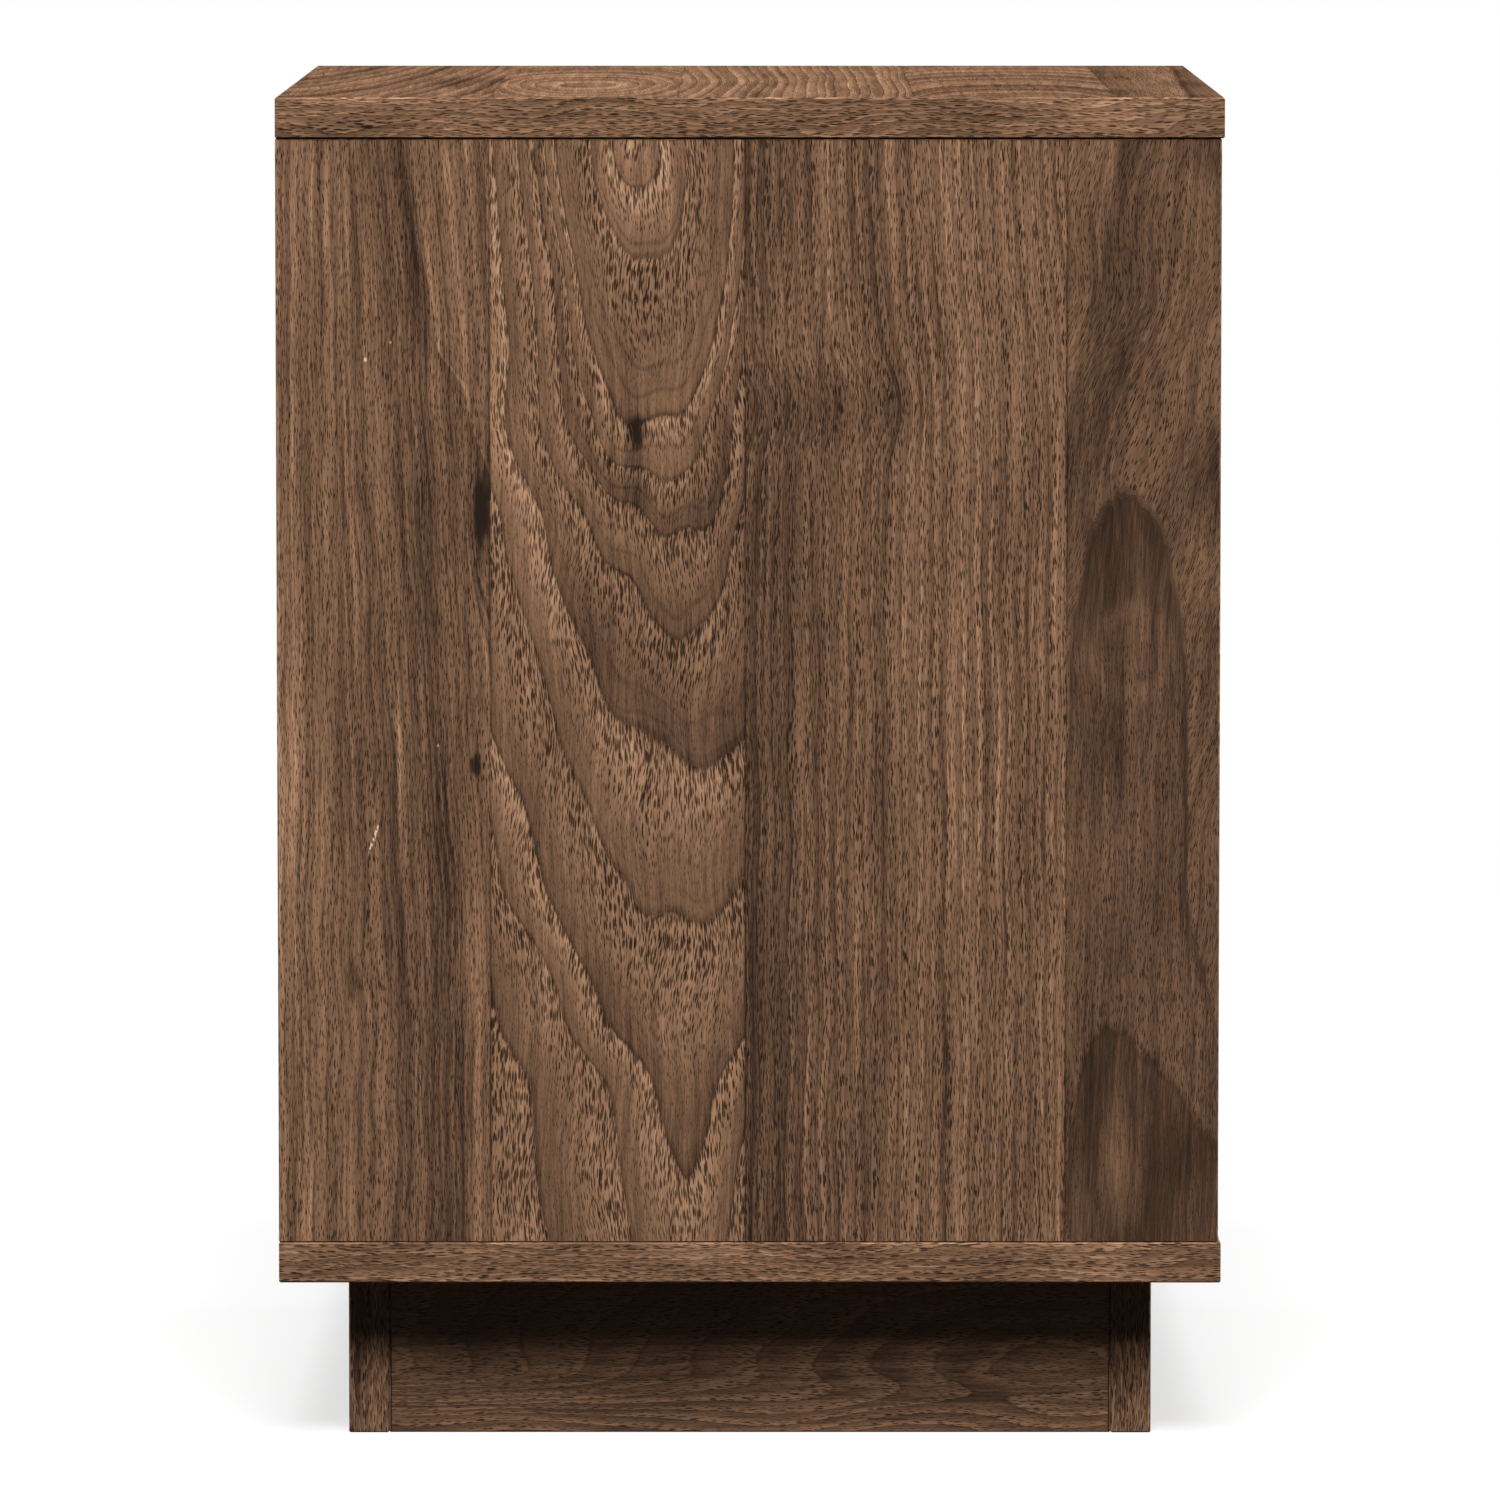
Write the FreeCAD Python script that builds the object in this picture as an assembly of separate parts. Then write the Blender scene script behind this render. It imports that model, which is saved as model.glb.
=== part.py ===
import FreeCAD, Part
import math
import os

# Bedside cabinet in walnut-faced board: a carcass of five boards on a set-back plinth, and two
# inset drawers with a finger pull cut into each front, on roller runners. Millimetres, +Z up.
# The drawers face -Y, and the origin is on the floor at the middle of the cabinet. Every piece
# of a drawer is drawn for the left side (-X) of the lowest drawer, then mirrored and raised.

Vector = FreeCAD.Vector
UP = Vector(0, 0, 1)
DOWN = Vector(0, 0, -1)
LEFT = Vector(-1, 0, 0)
RIGHT = Vector(1, 0, 0)
FRONTWARD = Vector(0, -1, 0)
BACKWARD = Vector(0, 1, 0)

# Whole cabinet
cabinet_width = 400.0
cabinet_depth = 350.0
cabinet_height = 500.0
board = 15.0  # carcass, plinth and drawer fronts
arris = 0.5  # bevel on the edges of every board
end_reveal = 0.7  # the top and bottom boards stand this far past the side panels
front_reveal = 1.0  # and this far in front of their front edges
cut_overrun = 2.0  # how far a cutting shape runs past the face it enters

# Plinth
plinth_height = 60.0
plinth_inset = 25.0  # from the edges of the bottom board, all round
plinth_reveal = 0.7  # its front and back boards stand this far past its side boards

# Back panel, held in grooves
back_thickness = 3.0
back_setback = 10.0  # from the rear edges of the boards to the panel's rear face
groove_depth = 6.0
groove_play = 0.1  # between a thin panel and its groove, on each side

# Drawer fronts, set in between the side panels
drawer_names = ("lower", "upper")
front_gap = 2.5  # around each front
pull_mouth = 124.0  # width of the finger pull at the front's top edge
pull_floor = 96.0
pull_depth = 22.0
pull_mouth_radius = 6.0
pull_floor_radius = 9.0

# Drawer boxes
box_board = 12.0
box_lift = 38.0  # underside of a box above the lower edge of its front
box_drop = 33.25  # top of a box below the top edge of its front
box_back_gap = 21.0  # between a box and the back panel
bottom_thickness = 3.0
bottom_lift = 10.0  # underside of the drawer bottom above the underside of the box
bottom_groove = 5.0

# Roller runners: a folded track on the cabinet and a folded rail on the drawer
runner_space = 12.5  # between a side panel and a drawer box
steel = 1.2
track_front_gap = 2.0  # between a drawer front and the end of the track
runner_overlap = 80.0  # length of the rail that stays in the track of an open drawer
entry_length = 36.0  # stretch of the track with no upper flange, where the rail's roller drops in
track_lip = 4.0
track_top_lip = 2.6
rail_rise = 16.0  # underside of the rail's flange above the underside of the box
rail_lip = 2.2
lip_gap = 0.2  # between the rail's lip and the level of the track's upper lip
rail_gap = 0.9  # between the rail's web and the track's lower lip
stop_bite = 0.9  # how far the front stop reaches over the rear roller's side
stop_drop = 1.8  # and how far it hangs below the top of that roller
stop_side_gap = 0.5  # between the front stop and the rail's flange
stop_gap = 0.3  # between a roller and a stop at the end of the travel
rear_stop_share = 2 / 3  # height of the rear stop, of a roller's diameter

# Rollers and the rivets that carry them
roller_radius = 10.5
roller_start = 2.3  # outer face of every roller, from the side panel
roller_lip_gap = 0.8  # between a roller and the track's lower lip
roller_end_gap = 2.5  # between a roller and the end of the steel that carries it
roll_gap = 0.2  # between a tread and the steel that it runs on
journal_radius = 2.4
journal_play = 0.05
roller_side_play = 0.1
rivet_shoulder_radius = 3.6
rivet_head_radius = 4.4
rivet_head_rise = 0.7
rivet_play = 0.05

# Countersunk screws
screw_head_radius = 3.7
screw_head_height = 1.2
screw_shank_radius = 1.7
screw_play = 0.05
runner_screw_length = 11.5
back_screw_length = 30.0
block_screw_length = 20.0
lift_screw_length = 35.0
track_screw_shares = (0.3, 0.8)  # of the track's length, from its front end
rail_screw_shares = (0.25, 0.72)  # of the box's length, from the drawer front
rail_screw_height_share = 0.4  # of the rail's rise
back_screw_shares = (0.27, 0.75)  # of the box's height

# Cam locks, their bolts, and dowels
cam_radius = 7.4
cam_play = 0.1
cam_centre = 24.0  # from the end of the board that holds the cam
cam_recess = 0.2  # cam face below the face of its board
cam_skin = 2.5  # left under a cam bore
cam_head_room = 1.6  # between a bolt's head and the floor of the bore in a cabinet board
box_cam_head_room = 0.1  # and in a drawer board
cam_slot_play = 0.5  # around the bolt's head inside the cam
driver_slot_length = 8.0
driver_slot_width = 1.6
driver_slot_depth = 1.5
bolt_thread_radius = 2.5
bolt_thread_skin = 4.0  # left under the bore for a thread
bolt_collar_radius = 3.6
bolt_neck_radius = 2.0
bolt_head_radius = 3.4
bolt_head_height = 3.0
bolt_channel_radius = 4.0
box_cam_shares = (0.35, 0.82)  # of the box's height
cam_from_front = 37.0  # from the side panel's front edge
cam_from_back = 60.0
dowel_from_cam = 32.0
dowel_radius = 4.0
dowel_length = 30.0
dowel_skin = 6.0  # left under a dowel in the face of a board
dowel_play = 0.05
dowel_end_play = 0.4

# Moulded corner blocks, which hold the plinth to the bottom board
block_leg = 40.0
block_thickness = 10.0
block_height = 24.0
block_elbow = 22.0
block_screw_share = 0.72  # place of the level screw along a leg

# Small turned fittings and their holes are cut in this many flats
flats = 8

# Places that follow from the sizes above
half_width = cabinet_width / 2
half_depth = cabinet_depth / 2
side_outer = half_width - end_reveal
side_inner = side_outer - board
side_front = front_reveal - half_depth
top_under = cabinet_height - board
floor_over = plinth_height + board
back_outer = half_depth - back_setback
back_inner = back_outer - back_thickness
groove_half = side_inner + groove_depth
plinth_half_width = half_width - plinth_inset
plinth_half_depth = half_depth - plinth_inset
plinth_side_outer = plinth_half_width - plinth_reveal
plinth_side_inner = plinth_side_outer - board
plinth_end_inner = plinth_half_depth - board

drawer_count = len(drawer_names)
drawer_pitch = (top_under - floor_over - front_gap) / drawer_count
front_height = drawer_pitch - front_gap
front_half = side_inner - front_gap
front_bottom = floor_over + front_gap
front_top = front_bottom + front_height
front_back = side_front + board
box_outer = side_inner - runner_space
box_inner = box_outer - box_board
box_bottom = front_bottom + box_lift
box_height = front_height - box_lift - box_drop
box_back = back_inner - box_back_gap
box_length = box_back - front_back
bottom_groove_low = box_bottom + bottom_lift - groove_play
bottom_groove_high = bottom_groove_low + bottom_thickness + 2 * groove_play

travel = box_length - runner_overlap
roller_from_end = roller_radius + roller_end_gap
roller_axis = steel + roll_gap + roller_radius  # above the underside of the track
roller_top = roller_axis + roller_radius
rail_flange = roller_top + roll_gap
stop_reach = roller_start + stop_bite
rail_reach = stop_reach + stop_side_gap
track_reach = runner_space - steel - rail_gap
roller_end = track_reach - steel - roller_lip_gap
roller_width = roller_end - roller_start
track_height = rail_flange + steel + rail_lip + lip_gap + track_top_lip + steel
track_bottom = box_bottom + rail_rise - rail_flange
track_front = front_back + track_front_gap
track_back = track_front + box_length
front_roller_y = track_front + roller_from_end
rear_roller_y = box_back - roller_from_end
rail_web = box_outer + steel

cam_bore_radius = cam_radius + cam_play
cam_slot_half = bolt_head_radius + cam_slot_play
cam_level = cam_skin + cam_head_room + bolt_head_radius  # a bolt's axis, from the closed face
box_cam_level = cam_skin + box_cam_head_room + bolt_head_radius
bolt_thread_length = board - bolt_thread_skin
dowel_bite = board - dowel_skin


# Shapes


def box(x0, x1, y0, y1, z0, z1):
    return Part.makeBox(x1 - x0, y1 - y0, z1 - z0, Vector(x0, y0, z0))


def bevelled_board(x0, x1, y0, y1, z0, z1):
    blank = box(x0, x1, y0, y1, z0, z1)
    return blank.makeChamfer(arris, blank.Edges)


def turned_in_flats(profile):
    """A small piece about Z, given as (radius, height) points that start and end on the axis."""
    turn = 2 * math.pi / flats
    directions = [Vector(math.cos(i * turn), math.sin(i * turn), 0) for i in range(flats)]
    faces = []
    for (low_radius, low), (high_radius, high) in zip(profile, profile[1:]):
        for one, other in zip(directions, directions[1:] + directions[:1]):
            corners = [one * low_radius + UP * low, other * low_radius + UP * low]
            corners += [other * high_radius + UP * high, one * high_radius + UP * high]
            distinct = [c for i, c in enumerate(corners) if c != corners[i - 1]]
            faces.append(Part.Face(Part.makePolygon(distinct + distinct[:1])))
    return Part.Solid(Part.Shell(faces)).removeSplitter()


def around(radius, play):
    """Radius of a hole in flats that clears a round piece by its play."""
    return (radius + play) / math.cos(math.pi / flats)


def rod(radius, low, high):
    return turned_in_flats([(0, low), (radius, low), (radius, high), (0, high)])


def hole(radius, play, low, high):
    return rod(around(radius, play), low, high)


def rounded_outline(corners):
    """A closed wire through (point, radius) corners, where a corner with a radius is an arc."""
    edges, begins, ends = [], [], []
    before_corner = corners[-1:] + corners[:-1]
    after_corner = corners[1:] + corners[:1]
    for (before, _), (point, radius), (after, _) in zip(before_corner, corners, after_corner):
        back = (before - point).normalize()
        ahead = (after - point).normalize()
        half_angle = back.getAngle(ahead) / 2
        reach = radius / math.tan(half_angle)
        begins.append(point + back * reach)
        ends.append(point + ahead * reach)
        if radius:
            inward = (back + ahead).normalize()
            middle = point + inward * (radius / math.sin(half_angle) - radius)
            edges.append(Part.Arc(begins[-1], middle, ends[-1]).toShape())
    for end, begin in zip(ends, begins[1:] + begins[:1]):
        edges.append(Part.LineSegment(end, begin).toShape())
    return Part.Wire(Part.__sortEdges__(edges))


def prism(points, length):
    """A level outline with straight sides, pushed up Z."""
    return Part.Face(Part.makePolygon(points + points[:1])).extrude(UP * length)


def folded_sheet(path, thickness, length):
    """A sheet folded square along (a, b) points, with its metal on the right of the path.

    Each fold is sharp inside, and outside it is rounded in two flats.
    """

    def fan(centre, start, end):
        middle = (start + end).normalize() * thickness
        return [centre + start, centre + middle, centre + end]

    points = [Vector(a, b, 0) for a, b in path]
    runs = [(end - begin).normalize() for begin, end in zip(points, points[1:])]
    across = [Vector(run.y, -run.x, 0) * thickness for run in runs]
    near = [points[0]]
    far = [points[0] + across[0]]
    for point, before, after in zip(points[1:], across, across[1:]):
        if before.cross(after).z < 0:
            inside = point + before + after
            near += fan(inside, -before, -after)
            far.append(inside)
        else:
            near.append(point)
            far += fan(point, before, after)
    near.append(points[-1])
    far.append(points[-1] + across[-1])
    return prism(near + far[::-1], length)


def placed(shape, origin, along, facing):
    """A copy whose Z points along, whose X points facing, and whose zero is at origin."""
    copy = shape.copy()
    turn = FreeCAD.Rotation(facing, along.cross(facing), along, "ZXY")
    copy.Placement = FreeCAD.Placement(origin, turn)
    return copy


def at_spots(shape, spots):
    return [placed(shape, *spot) for spot in spots]


def mirrored(shape):
    return shape.mirror(Vector(0, 0, 0), RIGHT)


def both_sides(shapes):
    return shapes + [mirrored(shape) for shape in shapes]


# Fittings about their own zero, with Z into the board that holds most of them


def screw(length):
    """Its head is flush at zero, and it is driven along Z."""
    profile = [(0, 0), (screw_head_radius, 0), (screw_shank_radius, screw_head_height), (0, length)]
    return turned_in_flats(profile)


def screw_hole(length):
    head, shank = around(screw_head_radius, screw_play), around(screw_shank_radius, screw_play)
    profile = [(0, -cut_overrun), (head, -cut_overrun), (head, 0), (shank, screw_head_height)]
    return turned_in_flats(profile + [(0, length + screw_play)])


def dowel():
    return rod(dowel_radius, -dowel_bite, dowel_length - dowel_bite)


def dowel_hole():
    low = -dowel_bite - dowel_end_play
    return hole(dowel_radius, dowel_play, low, low + dowel_length + 2 * dowel_end_play)


def cam_bolt():
    """A thread below zero, then a collar that tapers to a neck, and the head that the cam grips."""
    head_low = cam_centre - bolt_head_height / 2
    head_high = head_low + bolt_head_height
    profile = [
        (0, -bolt_thread_length),
        (bolt_thread_radius, -bolt_thread_length),
        (bolt_thread_radius, 0),
        (bolt_collar_radius, 0),
        (bolt_neck_radius, head_low),
        (bolt_head_radius, head_low),
        (bolt_head_radius, head_high),
        (0, head_high),
    ]
    return turned_in_flats(profile)


def thread_hole():
    return hole(bolt_thread_radius, screw_play, -bolt_thread_length - screw_play, cut_overrun)


def cam_lock(thickness, level):
    """The cam in a board of this thickness, facing +X, with a slot that takes the bolt's head."""
    floor = cam_skin + cam_recess - level
    face = thickness - level - cam_recess
    body = rod(cam_radius, floor, face)
    cam = placed(body, Vector(0, 0, cam_centre), RIGHT, UP)
    half = cam_slot_half
    bolt_slot = box(-half, half, -half, half, cam_centre - cam_bore_radius, cam_centre + half)
    driver_slot = box(
        face - driver_slot_depth,
        face + cut_overrun,
        -driver_slot_width / 2,
        driver_slot_width / 2,
        cam_centre - driver_slot_length / 2,
        cam_centre + driver_slot_length / 2,
    )
    return cam.cut([bolt_slot, driver_slot])


def cam_holes(thickness, level):
    """The bore for a cam and the channel that brings the bolt to it."""
    floor = cam_skin - level
    bore = hole(cam_radius, cam_play, floor, thickness - level + cut_overrun)
    channel = hole(bolt_channel_radius, 0, -cut_overrun, cam_centre)
    return placed(bore, Vector(0, 0, cam_centre), RIGHT, UP).fuse(channel)


# Carcass


def carcass_spots(lateral_places):
    """Where the side panels meet the bottom and top boards, facing into the cabinet."""
    axis = side_outer - cam_level
    return [
        (Vector(x, y, z), along, facing)
        for x, facing in ((-axis, RIGHT), (axis, LEFT))
        for y in lateral_places
        for z, along in ((floor_over, UP), (top_under, DOWN))
    ]


front_cam_y = side_front + cam_from_front
back_cam_y = half_depth - cam_from_back
cam_spots = carcass_spots((front_cam_y, back_cam_y))
dowel_spots = carcass_spots((front_cam_y + dowel_from_cam, back_cam_y - dowel_from_cam))


def track_screw_spots(index):
    """On the left track of a drawer, counted from the lowest."""
    height = track_bottom + track_height / 2 + index * drawer_pitch
    return [
        (Vector(steel - side_inner, track_front + share * box_length, height), LEFT, UP)
        for share in track_screw_shares
    ]


def side_panel():
    """The left one, which stands between the bottom and top boards."""
    blank = bevelled_board(-side_outer, -side_inner, side_front, half_depth, floor_over, top_under)
    groove = box(
        -groove_half,
        cut_overrun - side_inner,
        back_inner - groove_play,
        back_outer + groove_play,
        floor_over - cut_overrun,
        top_under + cut_overrun,
    )
    holes = at_spots(cam_holes(board, cam_level), cam_spots) + at_spots(dowel_hole(), dowel_spots)
    for index in range(drawer_count):
        holes += at_spots(screw_hole(runner_screw_length), track_screw_spots(index))
    return blank.cut([groove] + holes)


def capping_board(underside, groove_low, groove_high):
    """The top or the bottom board, with a stopped groove for the back panel."""
    blank = bevelled_board(
        -half_width, half_width, -half_depth, half_depth, underside, underside + board
    )
    groove = box(
        -groove_half,
        groove_half,
        back_inner - groove_play,
        back_outer + groove_play,
        groove_low,
        groove_high,
    )
    holes = at_spots(thread_hole(), cam_spots) + at_spots(dowel_hole(), dowel_spots)
    return blank.cut([groove] + holes)


def top_panel():
    return capping_board(top_under, top_under - cut_overrun, top_under + groove_depth)


def bottom_panel():
    capping = capping_board(plinth_height, floor_over - groove_depth, floor_over + cut_overrun)
    return capping.cut(block_screws(screw_hole))


def back_panel():
    reach = groove_depth - groove_play
    half = side_inner + reach
    return box(-half, half, back_inner, back_outer, floor_over - reach, top_under + reach)


def write_carcass_fittings():
    write("carcass_cam_locks", at_spots(cam_lock(board, cam_level), cam_spots))
    write("carcass_cam_bolts", at_spots(cam_bolt(), cam_spots))
    write("carcass_dowels", at_spots(dowel(), dowel_spots))


# Plinth


def plinth_corners():
    """Signs of X and Y for the four corners."""
    return [(x_sign, y_sign) for x_sign in (-1, 1) for y_sign in (-1, 1)]


def plinth_dowel_spots():
    """Where the side boards meet the front and back ones, in the ends of the side boards."""
    middle = plinth_side_inner + board / 2
    return [
        (Vector(x * middle, y * plinth_end_inner, plinth_height / 2), FRONTWARD * y, RIGHT)
        for x, y in plinth_corners()
    ]


def block_screw_spots():
    """A level screw into each side board, and one up into the bottom board, at each corner."""
    underside = plinth_height - block_height
    level_spots, lift_spots = [], []
    for x, y in plinth_corners():
        level_x = x * (plinth_side_inner - block_thickness)
        level_y = y * (plinth_end_inner - block_screw_share * block_leg)
        lift_x = x * (plinth_side_inner - block_elbow / 2)
        lift_y = y * (plinth_end_inner - block_elbow / 2)
        level_spots.append((Vector(level_x, level_y, underside + block_height / 2), RIGHT * x, UP))
        lift_spots.append((Vector(lift_x, lift_y, underside), UP, RIGHT))
    return level_spots, lift_spots


def block_screws(make):
    """All of them, or their holes, by the function that makes one of a given length."""
    level_spots, lift_spots = block_screw_spots()
    level_screws = at_spots(make(block_screw_length), level_spots)
    return level_screws + at_spots(make(lift_screw_length), lift_spots)


def plinth_end():
    """The back board of the plinth, which covers the ends of its side boards."""
    near, far = plinth_end_inner, plinth_half_depth
    blank = bevelled_board(-plinth_half_width, plinth_half_width, near, far, 0, plinth_height)
    return blank.cut(at_spots(dowel_hole(), plinth_dowel_spots()))


def plinth_side():
    near, far = -plinth_side_outer, -plinth_side_inner
    blank = bevelled_board(near, far, -plinth_end_inner, plinth_end_inner, 0, plinth_height)
    return blank.cut(at_spots(dowel_hole(), plinth_dowel_spots()) + block_screws(screw_hole))


def corner_block():
    """The one at the back right, an angle with an elbow that stands under the bottom board."""
    leg, thick, elbow = block_leg, block_thickness, block_elbow
    half = [(leg, 0), (leg, thick), (elbow, thick)]
    steps = [(0, 0)] + half + [(elbow, elbow)] + [(b, a) for a, b in half[::-1]]
    underside = plinth_height - block_height
    outline = [Vector(plinth_side_inner - a, plinth_end_inner - b, underside) for a, b in steps]
    block = prism(outline, block_height)
    return block.cut(block_screws(screw_hole))


def front_to_back(shape):
    return shape.mirror(Vector(0, 0, 0), BACKWARD)


def write_plinth():
    back = plinth_end()
    write("plinth_back", [back])
    write("plinth_front", [front_to_back(back)])
    write_pair("plinth_", "", plinth_side())
    write("plinth_dowels", at_spots(dowel(), plinth_dowel_spots()))
    right_blocks = [corner_block(), front_to_back(corner_block())]
    write("plinth_corner_blocks", both_sides(right_blocks))
    write("corner_block_screws", block_screws(screw))


# Drawers


def box_cam_spots():
    """Where the left side of a drawer box meets its front."""
    axis = box_inner + box_cam_level
    return [
        (Vector(-axis, front_back, box_bottom + share * box_height), BACKWARD, LEFT)
        for share in box_cam_shares
    ]


def rail_screw_spots():
    height = box_bottom + rail_screw_height_share * rail_rise
    return [
        (Vector(-rail_web, front_back + share * box_length, height), RIGHT, UP)
        for share in rail_screw_shares
    ]


def back_screw_spots():
    """Through the left side of a box into the end of its back."""
    middle = box_back - box_board / 2
    return [
        (Vector(-box_outer, middle, box_bottom + share * box_height), RIGHT, UP)
        for share in back_screw_shares
    ]


def bottom_groove_cutter():
    """Runs round the inside of a drawer box, in its front too."""
    reach = box_inner + bottom_groove
    near, far = front_back - bottom_groove, box_back - box_board + bottom_groove
    return box(-reach, reach, near, far, bottom_groove_low, bottom_groove_high)


def drawer_front():
    """Its outline goes down into the finger pull, and its face has a bevelled rim."""
    mouth, floor = pull_mouth / 2, pull_floor / 2
    right_half = [
        (front_half, front_bottom, 0),
        (front_half, front_top, 0),
        (mouth, front_top, pull_mouth_radius),
        (floor, front_top - pull_depth, pull_floor_radius),
    ]
    left_half = [(-x, z, radius) for x, z, radius in right_half[::-1]]
    corners = [(Vector(x, z, 0), radius) for x, z, radius in right_half + left_half]
    face = Part.Face(rounded_outline(corners))
    blank = placed(face.extrude(UP * board), Vector(0, front_back, 0), FRONTWARD, RIGHT)
    rim = [edge for edge in blank.Edges if edge.BoundBox.YMax < side_front + arris]
    threads = both_sides(at_spots(thread_hole(), box_cam_spots()))
    return blank.makeChamfer(arris, rim).cut([bottom_groove_cutter()] + threads)


def box_side():
    top = box_bottom + box_height
    blank = bevelled_board(-box_outer, -box_inner, front_back, box_back, box_bottom, top)
    cams = at_spots(cam_holes(box_board, box_cam_level), box_cam_spots())
    rail_screws = at_spots(screw_hole(runner_screw_length), rail_screw_spots())
    back_screws = at_spots(screw_hole(back_screw_length), back_screw_spots())
    return blank.cut([bottom_groove_cutter()] + cams + rail_screws + back_screws)


def box_back_board():
    top = box_bottom + box_height
    near = box_back - box_board
    blank = bevelled_board(-box_inner, box_inner, near, box_back, box_bottom, top)
    screws = at_spots(screw_hole(back_screw_length), back_screw_spots())
    return blank.cut([bottom_groove_cutter()] + both_sides(screws))


def drawer_bottom():
    reach = bottom_groove - groove_play
    half = box_inner + reach
    near, far = front_back - reach, box_back - box_board + reach
    low = box_bottom + bottom_lift
    return box(-half, half, near, far, low, low + bottom_thickness)


# Roller runners


def front_rivet_spot():
    """On the web of the left track, where the cabinet's roller turns."""
    return Vector(steel - side_inner, front_roller_y, track_bottom + roller_axis), RIGHT, UP


def rear_rivet_spot():
    """On the web of the left rail, where the drawer's roller turns."""
    return Vector(-rail_web, rear_roller_y, track_bottom + roller_axis), LEFT, UP


def rivet(shoulder):
    """Its tail is set in the steel below zero, and its head holds the roller."""
    journal_end = shoulder + roller_width + 2 * roller_side_play
    profile = [
        (0, -steel),
        (journal_radius, -steel),
        (journal_radius, 0),
        (rivet_shoulder_radius, 0),
        (rivet_shoulder_radius, shoulder),
        (journal_radius, shoulder),
        (journal_radius, journal_end),
        (rivet_head_radius, journal_end),
        (0, journal_end + rivet_head_rise),
    ]
    return turned_in_flats(profile)


def front_rivet():
    shoulder = roller_start - roller_side_play - steel
    return placed(rivet(shoulder), *front_rivet_spot())


def rear_rivet():
    shoulder = runner_space - steel - roller_end - roller_side_play
    return placed(rivet(shoulder), *rear_rivet_spot())


def rivet_hole():
    return hole(journal_radius, rivet_play, -steel - cut_overrun, cut_overrun)


def roller(y):
    start = Vector(roller_start - side_inner, y, track_bottom + roller_axis)
    tread = Part.makeCylinder(roller_radius, roller_width)
    bore = hole(journal_radius, journal_play, -cut_overrun, roller_width + cut_overrun)
    return placed(tread.cut(bore), start, RIGHT, UP)


def left_track():
    """A channel whose lower flange carries the drawer's roller, with a stop at each end."""
    web = -side_inner
    foot, head = track_bottom, track_bottom + track_height
    lower_edge, upper_edge = web + track_reach, web + roller_end
    path = [
        (lower_edge, foot + track_lip),
        (lower_edge, foot),
        (web, foot),
        (web, head),
        (upper_edge, head),
        (upper_edge, head - steel - track_top_lip),
    ]
    channel = folded_sheet(path, steel, box_length)
    channel = placed(channel, Vector(0, track_back, 0), FRONTWARD, RIGHT)
    entry = box(
        web + steel,
        upper_edge + cut_overrun,
        track_front - cut_overrun,
        track_front + entry_length,
        foot + rail_flange,
        head + cut_overrun,
    )
    side_reach = math.sqrt(roller_radius**2 - (roller_radius - stop_drop) ** 2)
    front_stop_back = rear_roller_y - travel - side_reach - stop_gap
    front_stop = box(
        web,
        web + stop_reach,
        front_stop_back - steel,
        front_stop_back,
        foot + roller_top - stop_drop,
        head - steel / 2,
    )
    rear_stop_front = rear_roller_y + roller_radius + stop_gap
    rear_stop_half = rear_stop_share * roller_radius
    rear_stop = box(
        web,
        web + roller_end,
        rear_stop_front,
        rear_stop_front + steel,
        foot + roller_axis - rear_stop_half,
        foot + roller_axis + rear_stop_half,
    )
    holes = at_spots(screw_hole(runner_screw_length), track_screw_spots(0))
    holes.append(placed(rivet_hole(), *front_rivet_spot()))
    return channel.cut(entry).fuse([front_stop, rear_stop]).removeSplitter().cut(holes)


def left_rail():
    """An angle under the side of a drawer, whose flange runs on the cabinet's roller."""
    foot, flange = box_bottom - steel, box_bottom + rail_rise
    edge = rail_reach - side_inner
    path = [
        (-box_inner, foot),
        (-rail_web, foot),
        (-rail_web, flange),
        (edge, flange),
        (edge, flange + steel + rail_lip),
    ]
    rail = folded_sheet(path, steel, box_length)
    rail = placed(rail, Vector(0, box_back, 0), FRONTWARD, RIGHT)
    holes = at_spots(screw_hole(runner_screw_length), rail_screw_spots())
    return rail.cut(holes + [placed(rivet_hole(), *rear_rivet_spot())])


# Files


def write(name, pieces, lift=0.0):
    """One file per name, with each piece in it as a separate solid."""
    shape = Part.makeCompound(pieces).translated(UP * lift)
    assert shape.isValid() and len(shape.Solids) == len(pieces), name
    shape.exportStep(os.path.join("parts", name + ".step"))
    print(name, len(pieces))


def write_pair(before, after, left_piece, lift=0.0):
    write(before + "left" + after, [left_piece], lift)
    write(before + "right" + after, [mirrored(left_piece)], lift)


def write_drawer(name, lift):
    """One drawer, and the tracks and rollers that carry it."""
    write(name + "_drawer_front", [drawer_front()], lift)
    write_pair(name + "_", "_drawer_side", box_side(), lift)
    write(name + "_drawer_back", [box_back_board()], lift)
    write(name + "_drawer_bottom", [drawer_bottom()], lift)
    fittings = {
        "_drawer_cam_locks": at_spots(cam_lock(box_board, box_cam_level), box_cam_spots()),
        "_drawer_cam_bolts": at_spots(cam_bolt(), box_cam_spots()),
        "_drawer_back_screws": at_spots(screw(back_screw_length), back_screw_spots()),
        "_rail_screws": at_spots(screw(runner_screw_length), rail_screw_spots()),
        "_rail_rivets": [rear_rivet()],
    }
    for ending, left_fittings in fittings.items():
        write(name + ending, both_sides(left_fittings), lift)
    write_pair(name + "_", "_rail", left_rail(), lift)
    write_pair(name + "_", "_rear_roller", roller(rear_roller_y), lift)
    write_pair(name + "_", "_track", left_track(), lift)
    write_pair(name + "_", "_front_roller", roller(front_roller_y), lift)


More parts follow.
